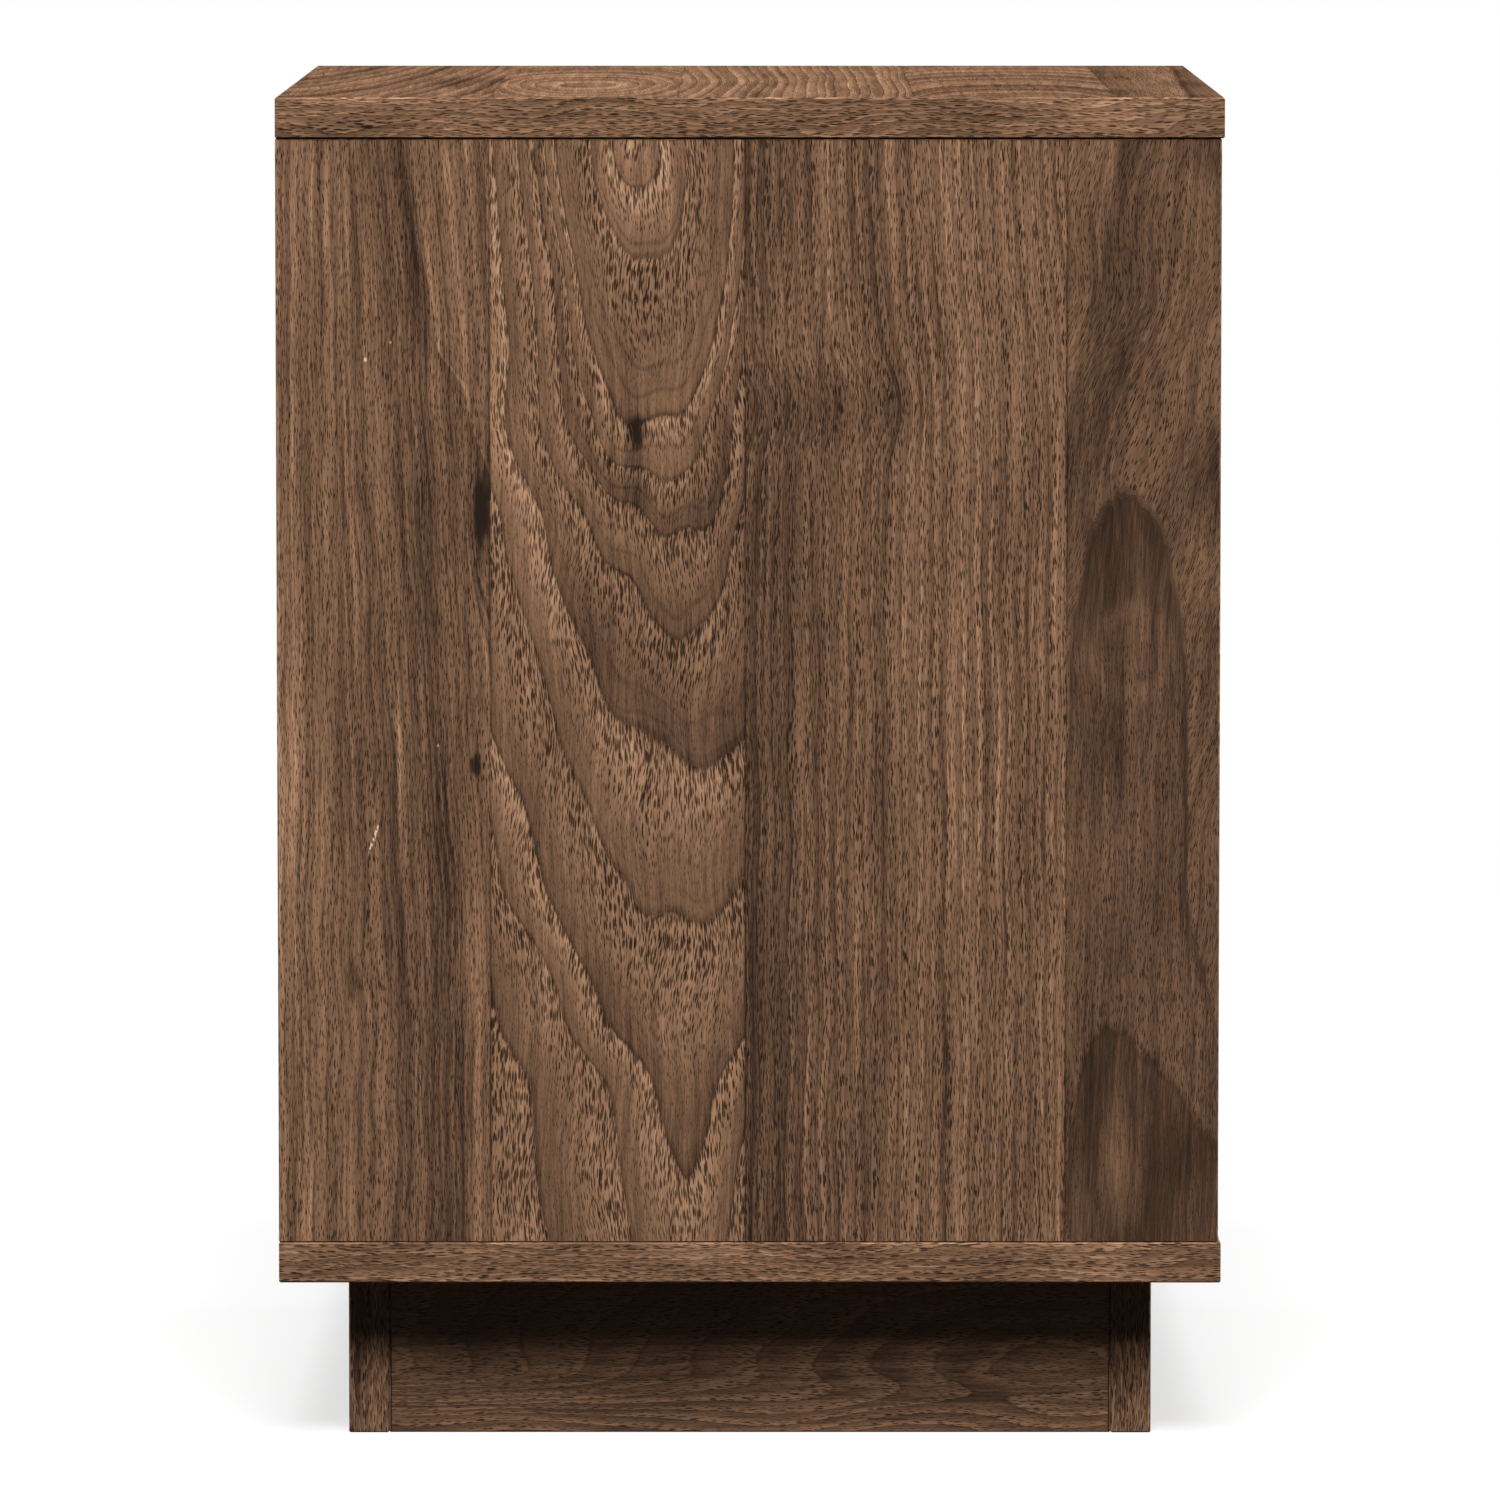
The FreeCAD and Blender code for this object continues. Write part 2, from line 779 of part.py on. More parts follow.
def write_track_fixings():
    screws, rivets = [], []
    for index in range(drawer_count):
        screws += at_spots(screw(runner_screw_length), track_screw_spots(index))
        rivets.append(front_rivet().translated(UP * index * drawer_pitch))
    write("track_screws", both_sides(screws))
    write("track_rivets", both_sides(rivets))


def main():
    os.makedirs("parts", exist_ok=True)
    write("top_panel", [top_panel()])
    write("bottom_panel", [bottom_panel()])
    write_pair("", "_side", side_panel())
    write("back_panel", [back_panel()])
    write_carcass_fittings()
    write_plinth()
    for index, name in enumerate(drawer_names):
        write_drawer(name, index * drawer_pitch)
    write_track_fixings()


main()
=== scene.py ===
import math

import bmesh
import bpy
from mathutils import Matrix, Vector

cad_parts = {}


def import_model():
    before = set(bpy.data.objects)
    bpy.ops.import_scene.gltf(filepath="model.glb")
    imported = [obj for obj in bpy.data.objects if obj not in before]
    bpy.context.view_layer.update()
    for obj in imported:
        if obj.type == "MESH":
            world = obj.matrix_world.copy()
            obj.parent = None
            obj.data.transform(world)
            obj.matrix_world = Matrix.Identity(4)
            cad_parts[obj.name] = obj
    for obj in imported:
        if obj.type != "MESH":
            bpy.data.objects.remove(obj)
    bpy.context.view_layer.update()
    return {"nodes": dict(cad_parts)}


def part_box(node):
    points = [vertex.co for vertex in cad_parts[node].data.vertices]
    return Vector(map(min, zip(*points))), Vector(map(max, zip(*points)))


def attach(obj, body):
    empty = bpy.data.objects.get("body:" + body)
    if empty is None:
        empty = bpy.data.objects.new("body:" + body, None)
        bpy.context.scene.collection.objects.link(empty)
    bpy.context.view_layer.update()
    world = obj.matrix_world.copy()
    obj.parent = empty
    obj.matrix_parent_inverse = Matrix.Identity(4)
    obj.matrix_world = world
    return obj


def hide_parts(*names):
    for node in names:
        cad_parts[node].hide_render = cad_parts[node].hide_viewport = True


# Looks of the bedside cabinet: walnut veneer in strips, white drawer boxes, small turned
# fittings, a pale floor, lamps and the camera. Metres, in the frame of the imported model.
# Materials are worked out in millimetres, from each mesh's own coordinates.

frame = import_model()
nodes = frame["nodes"]
MM = 0.001


# Numbers that vary over a surface

# How far one seed moves a noise, and the factor that brings it to about -1 to 1
SEED_STEP = (7.31, 3.17)
NOISE_SPREAD = 2.6


class Value:
    """The output of a shader node, which can be added, multiplied and so on."""

    def __init__(self, tree, socket):
        self.tree = tree
        self.socket = socket

    def __add__(self, other):
        return math_node(self.tree, "ADD", self, other)

    def __sub__(self, other):
        return math_node(self.tree, "SUBTRACT", self, other)

    def __rsub__(self, other):
        return math_node(self.tree, "SUBTRACT", other, self)

    def __mul__(self, other):
        return math_node(self.tree, "MULTIPLY", self, other)

    def __truediv__(self, other):
        return math_node(self.tree, "DIVIDE", self, other)

    def __neg__(self):
        return self * -1.0

    __radd__ = __add__
    __rmul__ = __mul__

    def call(self, operation, *others):
        return math_node(self.tree, operation, self, *others)

    def above(self, other):
        return self.call("GREATER_THAN", other)

    def below(self, other):
        return self.call("LESS_THAN", other)

    def at_least(self, other):
        return self.call("MAXIMUM", other)

    def absolute(self):
        return self.call("ABSOLUTE")


def feed(tree, socket, value):
    if isinstance(value, Value):
        tree.links.new(value.socket, socket)
    else:
        socket.default_value = value


def fill(tree, node, *values):
    """The first output of a node whose inputs get these values."""
    for socket, value in zip(node.inputs, values):
        feed(tree, socket, value)
    return Value(tree, node.outputs[0])


def math_node(tree, operation, *inputs):
    node = tree.nodes.new("ShaderNodeMath")
    node.operation = operation
    return fill(tree, node, *inputs)


def ramp(x, x0, x1, y0=0.0, y1=1.0):
    """y0 up to x0, y1 after x1, and a smooth change between them."""
    node = x.tree.nodes.new("ShaderNodeMapRange")
    node.interpolation_type = "SMOOTHSTEP"
    return fill(x.tree, node, x, x0, x1, y0, y1)


def mixed(share, a, b):
    return a + (b - a) * share


def vector(x, y):
    return fill(x.tree, x.tree.nodes.new("ShaderNodeCombineXYZ"), x, y)


def noise(x, y, size_x, size_y, seed=0.0, detail=0.0):
    """About -1 to 1, in patches of the given size."""
    node = x.tree.nodes.new("ShaderNodeTexNoise")
    node.noise_dimensions = "2D"
    place = vector(x / size_x + seed * SEED_STEP[0], y / size_y + seed * SEED_STEP[1])
    feed(x.tree, node.inputs["Vector"], place)
    node.inputs["Scale"].default_value = 1.0
    node.inputs["Detail"].default_value = detail
    return (Value(x.tree, node.outputs["Fac"]) - 0.5) * NOISE_SPREAD


def patch(x, y, centre, radii, skew=0.0):
    """Distance from a centre, 1 on the ellipse with these radii."""
    across = (x - centre[0]) / radii[0]
    along = (y - centre[1] - (x - centre[0]) * skew) / radii[1]
    return (across * across + along * along).call("SQRT")


def spot(x, y, centre, radii, skew=0.0):
    """1 at the centre, 0 on the ellipse and outside it."""
    return ramp(patch(x, y, centre, radii, skew), 0.0, 1.0, 1.0, 0.0)


def colour_ramp(x, stops, interpolation="LINEAR"):
    """The colour at x, from (position, colour) stops between 0 and 1."""
    node = x.tree.nodes.new("ShaderNodeValToRGB")
    node.color_ramp.interpolation = interpolation
    elements = node.color_ramp.elements
    while len(elements) < len(stops):
        elements.new(1.0)
    for element, (position, colour) in zip(elements, stops):
        element.position = position
        element.color = colour
    return fill(x.tree, node, x)


def levels(x, stops, smooth=True):
    """A line through (place, level) stops, flat before the first and after the last."""
    first, last = stops[0][0], stops[-1][0]
    heights = [level for place, level in stops]
    low, rise = min(heights), max(heights) - min(heights)
    greys = []
    for place, level in stops:
        share = (level - low) / rise
        greys.append(((place - first) / (last - first), (share, share, share, 1.0)))
    line = colour_ramp((x - first) / (last - first), greys, "EASE" if smooth else "LINEAR")
    return line * rise + low


def ring_count(x, marks):
    """Counts the marks passed, with an even change between them."""
    return levels(x, [(mark, float(number)) for number, mark in enumerate(marks)], False)


def choose(index, choices):
    """The choice that a whole-number index names."""
    parts = [index.call("COMPARE", float(number), 0.5) * choice
             for number, choice in enumerate(choices)]
    return sum(parts[1:], parts[0])


# Materials

VENEER_BUMP, VENEER_BUMP_DEPTH = 0.4, 0.1
PLAIN_BUMP = 0.5
PLAIN_SPECULAR = 0.5


def linear(rgb):
    """Scene colour for screen values from 0 to 255."""
    shares = [level / 255.0 for level in rgb]
    return [s / 12.92 if s <= 0.04045 else ((s + 0.055) / 1.055) ** 2.4 for s in shares] + [1.0]


def tone_colour(value, tones):
    return colour_ramp(value, [(place, linear(rgb)) for place, rgb in tones])


def new_material(name):
    material = bpy.data.materials.new(name)
    material.use_nodes = True
    material.node_tree.nodes.clear()
    return material


def close_material(material, colour, roughness, height, strength, depth,
                   specular=PLAIN_SPECULAR, metallic=0.0):
    """A shader with these looks, and a bump of the given strength and depth in mm."""
    tree = material.node_tree
    shader = tree.nodes.new("ShaderNodeBsdfPrincipled")
    bump = tree.nodes.new("ShaderNodeBump")
    for node, label, value in (
        (shader, "Base Color", colour), (shader, "Roughness", roughness),
        (shader, "Specular IOR Level", specular), (shader, "Metallic", metallic),
        (bump, "Strength", strength), (bump, "Distance", depth * MM), (bump, "Height", height),
    ):
        feed(tree, node.inputs[label], value)
    tree.links.new(bump.outputs[0], shader.inputs["Normal"])
    output = tree.nodes.new("ShaderNodeOutputMaterial")
    tree.links.new(shader.outputs[0], output.inputs[0])
    return material


def dress(node_name, material):
    node = nodes[node_name]
    node.data.materials.clear()
    node.data.materials.append(material)


# Walnut

WALNUT_TONES = ((0.0, (46, 35, 27)), (0.2, (81, 59, 45)), (0.4, (125, 94, 72)),
                (0.6, (165, 125, 96)), (0.8, (206, 160, 125)), (1.0, (252, 222, 184)))
# Tones are multiplied by this, so that bright spots above 1 still find a colour
TONE_SCALE = 0.8
PORE_WIDTH, PORE_LENGTH = 0.62, 5.2
# How squarely a surface faces its axis where it is a broad face, or the end of the grain
FACE_TURN, END_TURN = 0.85, 0.6
# How far the finished edges reach into a board, and how far apart their rings are
EDGE_REACH, EDGE_RING = 0.7, 3.0
CORE_TONE = 0.95
# Distance from its axis at which an arch has its plain slope
ARCH_REACH = 45.0
# Half the width of a seam between strips, at its full shade and with its soft edges
SEAM_CORE, SEAM_EDGE = 0.2, 0.7


def pore_cells(across, along):
    """Distance from the middle of the nearest cell, and a random number for that cell."""
    node = across.tree.nodes.new("ShaderNodeTexVoronoi")
    node.voronoi_dimensions = "2D"
    node.inputs["Scale"].default_value = 1.0
    feed(across.tree, node.inputs["Vector"], vector(across / PORE_WIDTH, along / PORE_LENGTH))
    split = across.tree.nodes.new("ShaderNodeSeparateColor")
    across.tree.links.new(node.outputs["Color"], split.inputs[0])
    return Value(across.tree, node.outputs["Distance"]), Value(across.tree, split.outputs[0])


def new_group(name, inputs, outputs):
    tree = bpy.data.node_groups.new(name, "ShaderNodeTree")
    for label in inputs:
        tree.interface.new_socket(label, in_out="INPUT", socket_type="NodeSocketFloat")
    for label, kind in outputs:
        tree.interface.new_socket(label, in_out="OUTPUT", socket_type=kind)
    entry = tree.nodes.new("NodeGroupInput")
    return tree, [Value(tree, entry.outputs[label]) for label in inputs]


def close_group(tree, results):
    leave = tree.nodes.new("NodeGroupOutput")
    for socket, value in zip(leave.inputs, results):
        feed(tree, socket, value)
    return tree


def veneer_group():
    """Colour, roughness and height of walnut from its ring count, tone and pores."""
    tree, (across, along, ring, tone, pores, figure) = new_group(
        "veneer",
        ("Across", "Along", "Ring", "Tone", "Pores", "Figure"),
        (("Color", "NodeSocketColor"), ("Roughness", "NodeSocketFloat"),
         ("Height", "NodeSocketFloat")),
    )
    fibre_across = across + noise(across, along, 9.0, 40.0, 11.0) * 1.2
    coarse = noise(fibre_across, along, PORE_WIDTH, 11.0, 3.0, 1.0)
    fine = noise(fibre_across, along, 0.36, 12.0, 5.0, 1.0)
    streak = noise(fibre_across, along, 2.2, 110.0, 23.0, 1.0)
    cloud = noise(across, along, 24.0, 60.0, 31.0)
    distance, luck = pore_cells(fibre_across, along)

    phase = (ring + coarse * 0.04).call("FRACT")
    early = mixed(figure, 0.5, ramp(phase, 0.03, 0.85, 1.0, 0.0))
    line = ramp(phase, 0.90, 0.985) + ramp(phase, 0.0, 0.045, 1.0, 0.0)
    porous = pores * (early * 0.85 + 0.18)
    reach = porous * (luck * 0.34 + 0.2)
    short = ramp(distance, reach * 0.55, reach + 0.07, 1.0, 0.0) * ramp(porous, 0.0, 0.2)
    long = ramp(coarse, 0.2, 0.7) * (porous * 0.9 + 0.1)
    light = tone + (early - 0.45) * 0.17 - line * figure * 0.16 + porous * 0.17
    light = light + fine * 0.15 + streak * 0.13 + cloud * 0.06
    light = light - short * 0.62 - long * 0.32
    colour = tone_colour(light * TONE_SCALE, WALNUT_TONES)
    rough = 0.50 + short * 0.2 + fine * 0.04
    height = fine * 0.3 - ramp(distance, 0.1, 0.35, 1.2, 0.0) * luck
    return close_group(tree, (colour, rough, height))


VENEER = veneer_group()


class Board:
    """A board's coordinates: across and along the grain, and through its thickness."""

    def __init__(self, name, node_name, axes, edged=EDGE_REACH, edge_tone=0.56):
        """edged is how far the finished edges reach into the board at its upper end."""
        self.edged = edged
        self.edge_tone = edge_tone
        self.material = new_material(name)
        self.tree = self.material.node_tree
        place = self.tree.nodes.new("ShaderNodeTexCoord")
        spread = self.split(place.outputs["Object"])
        facing = self.split(place.outputs["Normal"])
        low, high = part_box(node_name)
        self.places, self.turned, self.limits = [], [], []
        for axis in axes:
            number = "xyz".index(axis[-1])
            sign = -1.0 if axis[0] == "-" else 1.0
            ends = sorted((low[number] * sign / MM, high[number] * sign / MM))
            self.places.append((spread[number] / MM) * sign)
            self.turned.append(facing[number].absolute())
            self.limits.append(ends)

    def split(self, socket):
        node = self.tree.nodes.new("ShaderNodeSeparateXYZ")
        self.tree.links.new(socket, node.inputs[0])
        return [Value(self.tree, output) for output in node.outputs]

    def inside(self):
        """1 in holes and grooves, away from the four edges."""
        across, along = self.places[:2]
        (low, high), (start, end) = self.limits[:2]
        away = across.above(low + EDGE_REACH) * across.below(high - self.edged)
        return away * along.above(start + EDGE_REACH) * along.below(end - EDGE_REACH)

    def finish(self, ring, tone, pores, figure, lean=0.0, specular=0.05):
        """Veneer on the broad faces, edging on the edges and chipboard in the holes; lean
        moves the fibres sideways."""
        across, along, through = self.places
        over_along, over_through = self.turned[1:]
        is_face = over_through.above(FACE_TURN)
        is_end = over_along.above(END_TURN) * (1.0 - is_face)
        is_core = (1.0 - is_face) * self.inside()
        edge_along = mixed(is_end, along, across)
        warp = noise(edge_along, through, 38.0, 14.0, 2.0) * 4.0
        warp = warp + noise(edge_along, through, 120.0, 60.0, 4.0) * 5.0
        edge_ring = (through + warp) / EDGE_RING
        edge_tone = self.edge_tone + noise(edge_along, through, 50.0, 9.0, 6.0) * 0.12
        edge_tone = mixed(is_core, edge_tone, CORE_TONE)
        group = self.tree.nodes.new("ShaderNodeGroup")
        group.node_tree = VENEER
        for label, value in (
            ("Across", mixed(is_face, through, across + lean)),
            ("Along", mixed(is_face, edge_along, along)),
            ("Ring", mixed(is_face, edge_ring, ring)),
            ("Tone", mixed(is_face, edge_tone, tone)),
            ("Pores", mixed(is_face, 1.12 - is_core * 0.72, pores)),
            ("Figure", mixed(is_face, 0.8 - is_core * 0.8, figure)),
        ):
            feed(self.tree, group.inputs[label], value)
        colour, rough, height = [Value(self.tree, output) for output in group.outputs]
        return close_material(self.material, colour, rough, height,
                              VENEER_BUMP, VENEER_BUMP_DEPTH, specular)


def arches(across, depth, left_slope, right_slope, blunt=0.3):
    """Nested arches: the depth at which the arch through a point meets the axis. They are
    round with a high value of blunt, and pointed below zero."""
    left = (-across).at_least(0.0) * left_slope
    right = across.at_least(0.0) * right_slope
    side = (left + right) * (across.absolute() / ARCH_REACH + 0.001).call("POWER", blunt)
    return (side * side + depth * depth).call("SQRT")


def strip_index(across, seams):
    """How many seams between strips lie before this place."""
    passed = [across.above(seam) for seam in seams]
    return sum(passed[1:], passed[0])


def seamed(tone, across, seams, amount):
    """The tone, darker by the amount at the seams."""
    for seam in seams:
        tone = tone - ramp((across - seam).absolute(), SEAM_CORE, SEAM_EDGE, amount, 0.0)
    return tone


# Left side panel, the one in the photograph

# Across grows towards the front, and depth downwards from the top edge of the panel. Each
# strip gives its ring count, its tone, its pores, the sideways lean of its fibres, and the
# line that its fine stripes follow.
PANEL_TOP = 485.0
SIDE_SEAMS = (-96.0, -1.8, 117.0)
# Knots, smudges, pale dots and a pale streak: middle, radii, and how much darker
SIDE_SPOTS = (
    ((-41.6, 108.6), (4.6, 9.0), 0.8), ((-42.0, 118.0), (5.0, 34.0), 0.2),
    ((-99.5, 138.0), (3.7, 17.0), 0.75), ((-101.0, 140.0), (6.0, 46.0), 0.18),
    ((-101.5, 232.0), (3.2, 6.0), 0.6), ((-143.0, 25.0), (6.0, 85.0), 0.16),
    ((-106.0, 205.0), (9.0, 60.0), 0.13),
    ((-141.9, 81.6), (0.8, 1.2), -1.2), ((-132.6, 75.2), (0.6, 0.9), -0.8),
    ((-115.4, 224.6), (0.6, 0.9), -0.8), ((-129.8, 236.0), (1.3, 55.0), -0.3),
)


def first_strip(across, depth, wavy, bend):
    """Straight grain that drifts towards the front, with a dark streak and a wedge of
    paler grain above the knot."""
    drift = levels(depth, ((0.0, -4.5), (67.0, 2.0), (112.0, 4.5), (157.0, 7.5), (202.0, 11.5),
                           (247.0, 14.5), (337.0, 18.5), (420.0, 17.0)), False)
    drift = drift * ramp(across, -168.0, -122.0)
    knot = spot(across, depth, (-99.5, 137.0), (9.0, 60.0))
    strand = across - drift + bend * 0.8 + knot * 7.0
    tone = levels(strand, (
        (-175.0, 0.68), (-170.0, 0.56), (-165.0, 0.54), (-158.0, 0.55), (-151.0, 0.485),
        (-146.0, 0.46), (-141.0, 0.48), (-137.5, 0.435), (-133.0, 0.375), (-130.0, 0.34),
        (-124.0, 0.34), (-120.0, 0.475), (-117.0, 0.54), (-108.0, 0.505), (-101.0, 0.445),
        (-96.0, 0.40),
    ))
    wedge = across - levels(
        depth, ((15.0, -125.5), (74.0, -116.0), (97.0, -104.3), (132.0, -95.0)))
    wedge_reach = levels(depth, ((20.0, 0.0), (50.0, 0.6), (90.0, 1.0), (132.0, 0.8)))
    wedge_shade = ramp(wedge, -9.0, -0.6) * wedge.below(0.0) * 0.13
    wedge_line = ramp((wedge - 0.5).absolute(), 0.2, 1.1, 0.13, 0.0)
    tone = tone + (wedge_line - wedge_shade) * wedge_reach * depth.below(134.0)
    tone = tone + wedge.above(0.0) * ramp(depth, 30.0, 110.0, 0.06, 0.02)
    return strand / 8.0 + wavy * 0.2, tone, 0.85, 0.0, strand


def second_strip(across, depth, wavy, bend):
    """Nested arches that open upwards, and meet in a point low down."""
    axis = levels(depth, ((0.0, -43.0), (60.0, -37.0), (106.0, -35.0), (146.0, -25.0),
                          (180.0, -21.0), (300.0, -24.0)))
    left_slope = levels(depth, ((0.0, 4.3), (71.0, 4.0), (108.0, 3.45), (160.0, 3.4),
                                (205.0, 3.55), (275.0, 5.0), (324.0, 7.5), (354.0, 9.5)))
    right_slope = levels(depth, ((0.0, 3.0), (74.0, 3.8), (112.0, 4.3), (150.0, 7.0),
                                 (220.0, 5.2), (270.0, 6.0), (316.0, 7.4), (360.0, 11.0)))
    blunt = levels(depth, ((285.0, 0.3), (324.0, 0.0), (354.0, -0.3)))
    sway = ramp(depth, 20.0, 150.0) * 6.0 + 1.5
    arch = arches(
        across + bend * 0.7 - axis, depth + wavy * sway, left_slope, right_slope, blunt)
    ring = ring_count(arch, (0.0, 17.0, 44.0, 106.0, 125.0, 146.0, 180.0, 231.0, 290.5,
                             391.0, 470.0, 620.0, 830.0, 1100.0))
    tone = levels(arch, (
        (17.0, 0.62), (44.0, 0.60), (52.0, 0.42), (106.0, 0.58), (125.0, 0.56), (131.0, 0.40),
        (146.0, 0.44), (160.0, 0.52), (179.0, 0.49), (185.0, 0.44), (229.0, 0.46),
        (236.0, 0.60), (290.0, 0.60), (294.0, 0.48), (340.0, 0.56), (390.0, 0.50),
        (396.0, 0.62), (463.0, 0.59), (480.0, 0.50), (600.0, 0.57), (1100.0, 0.54),
    ))
    lines = ((arch + wavy * 2.0) / 11.0).call("FRACT")
    lined = levels(arch, ((60.0, 0.13), (300.0, 0.06), (380.0, 0.05), (460.0, 0.0)))
    tone = tone + 0.03 - ramp((lines - 0.5).absolute(), 0.0, 0.16, 1.0, 0.0) * lined
    paler = ramp(across, -80.0, -58.0, 1.0, 0.0) * ramp(depth, 120.0, 200.0, 0.085, 0.0)
    return ring, tone + paler, 1.15, bend * 1.6, across + bend


def third_strip(across, depth, wavy, bend):
    """Fine straight stripes with one curl across them."""
    curl = ramp((depth - 99.0).absolute(), 0.0, 24.0, 1.0, 0.0)
    curl = curl * ramp(across, 45.0, 75.0, 1.0, 0.0)
    drift = ramp(depth, 0.0, 105.0) * levels(across, ((0.0, 3.0), (60.0, 8.0)))
    strand = across - drift - curl * 6.0 + bend * 0.7
    tone = levels(strand, (
        (-2.0, 0.34), (12.0, 0.365), (18.0, 0.39), (30.0, 0.48), (42.0, 0.44), (47.0, 0.49),
        (52.0, 0.56), (58.0, 0.48), (61.0, 0.50), (64.0, 0.44), (70.0, 0.62), (78.0, 0.52),
        (87.0, 0.51), (96.0, 0.51), (117.0, 0.54),
    )) - curl * 0.12
    return strand / 5.4 + wavy * 0.12, tone, 1.08, 0.0, strand


def fourth_strip(across, depth, wavy, bend):
    """Dark heartwood in two arched patches, a big one and a small one at the foot."""
    bent = across + bend
    rim = across - levels(depth, ((0.0, 134.0), (118.0, 116.0)))
    band = ramp(rim, -0.5, 2.5) * ramp(rim, 2.0, 46.0, 1.0, 0.0)
    band = band * ramp(depth, 110.0, 170.0, 1.0, 0.0)
    rough_edge = noise(across, depth, 3.0, 9.0, 21.0, 1.0)

    flare = ramp(depth, 275.0, 365.0) * 11.0
    big_depth = depth - (depth - 222.0).at_least(0.0) * 0.65 + wavy * 5.0
    big = patch((bent - 139.5 - flare) / (flare + 23.0), big_depth, (0.0, 222.0), (1.0, 92.0))
    big = big + rough_edge * 0.035 + wavy * 0.05
    big_calm = ramp(big, 0.95, 1.02, 1.0, 0.0)
    big_inside = big_calm * ramp(depth, 225.0, 325.0, 1.0, 0.1) * ramp(big, 0.2, 0.8, 0.55, 1.0)

    from_top = bent - 132.0
    out_right, out_left = from_top.at_least(0.0), (-from_top).at_least(0.0)
    small = patch(out_right / 52.0 + out_left / 14.0, depth + wavy * 3.0 - out_right * 0.55,
                  (0.0, 388.0), (1.0, 58.0))
    small = small + rough_edge * 0.035
    small_inside = ramp(small, 0.96, 1.01, 1.0, 0.0)

    upper_eye = patch(bent, depth + wavy * 3.0, (141.0, 190.0), (16.0, 17.0))
    eye = ramp((upper_eye - 0.9).absolute(), 0.0, 0.35, 0.8, 0.0)
    eye = eye + spot(across + bend * 2.0, depth + wavy * 4.0, (136.5, 381.0), (9.5, 42.0)) * 2.3
    eye = eye - spot(bent, depth + wavy * 3.0, (159.0, 376.0), (18.0, 19.0)) * 0.8
    rim_reach = mixed(across.above(145.0), ramp(depth, 190.0, 270.0, 1.0, 0.0),
                      levels(depth, ((160.0, 0.7), (250.0, 1.7), (310.0, 1.7), (345.0, 0.0))))
    rim_line = ramp(big, 0.8, 1.0) * ramp(big, 1.0, 1.05, 1.0, 0.0) * rim_reach
    rim_line = rim_line.at_least(ramp((small - 1.0).absolute(), 0.0, 0.06, 1.2, 0.0))
    corner = spot(across, depth, (172.0, 4.0), (20.0, 16.0))
    corner = corner + spot(across, depth, (175.0, 130.0), (18.0, 32.0))
    shade = ramp(across, 146.0, 168.0) * levels(
        depth, ((80.0, 0.0), (135.0, 1.0), (330.0, 1.0), (400.0, 0.0)))

    tone = 0.413 - band * 0.18 - big_inside * 0.115 + eye * 0.11 - rim_line * 0.1
    tone = tone - small_inside * 0.135
    tone = tone + noise(across, depth, 11.0, 26.0, 33.0, 1.0) * 0.045
    tone = tone - corner * 0.22 - shade * 0.035
    tone = tone + bend * 0.035 + wavy * 0.03
    ring = (across + big * 6.0 + wavy * 1.5) / 7.0
    pores = 0.85 - small_inside * 0.5 - big_inside * ramp(depth, 165.0, 230.0, 0.65, 0.1)
    lean = depth * ramp(depth, 30.0, 150.0, 0.04, 0.2)
    lean = lean + noise(across, depth, 32.0, 48.0, 27.0) * 5.0
    lean = lean * (1.0 - big_calm.at_least(small_inside) * 0.8)
    return ring, tone, pores, lean, across + bend * 2.0


def side_figure(across, depth):
    wavy = noise(across, depth, 15.0, 50.0, 1.0)
    bend = noise(across, depth, 28.0, 42.0, 8.0) * 1.4
    strips = [strip(across, depth, wavy, bend)
              for strip in (first_strip, second_strip, third_strip, fourth_strip)]
    index = strip_index(across, SIDE_SEAMS)
    ring, tone, pores, lean, strand = [choose(index, values) for values in zip(*strips)]
    figure = choose(index, (0.25, 1.0, 0.46, 0.2))
    tone = tone + levels(depth, ((0.0, 0.055), (90.0, 0.037), (200.0, 0.004), (400.0, -0.038)))
    fine_stripes = noise(strand, depth, 1.1, 200.0, 14.0, 1.0)
    tone = tone + fine_stripes * choose(index, (0.2, 0.04, 0.21, 0.05))
    broad_stripes = noise(strand, depth, 6.0, 420.0, 15.0)
    tone = tone + broad_stripes * choose(index, (0.14, 0.0, 0.07, 0.04))
    dark_strand = ramp(noise(strand, depth, 0.85, 26.0, 44.0, 1.0), 0.25, 0.75)
    tone = tone - dark_strand * choose(index, (0.2, 0.02, 0.1, 0.02))
    scratch = spot(across, depth, (-139.2, 259.0), (3.1, 2.2), -2.7)
    tone = tone + scratch * ramp(noise(across, depth, 0.9, 1.6, 41.0), -0.3, 0.2) * 1.5
    edge_strand = noise(strand, depth, 2.6, 260.0, 47.0) * ramp(across, -166.0, -150.0, 1.0, 0.0)
    tone = seamed(tone + edge_strand * 0.13, across, SIDE_SEAMS, 0.2)
    for centre, radii, amount in SIDE_SPOTS:
        tone = tone - spot(across, depth, centre, radii) * amount
    return ring, tone, pores, figure, lean


# The other boards

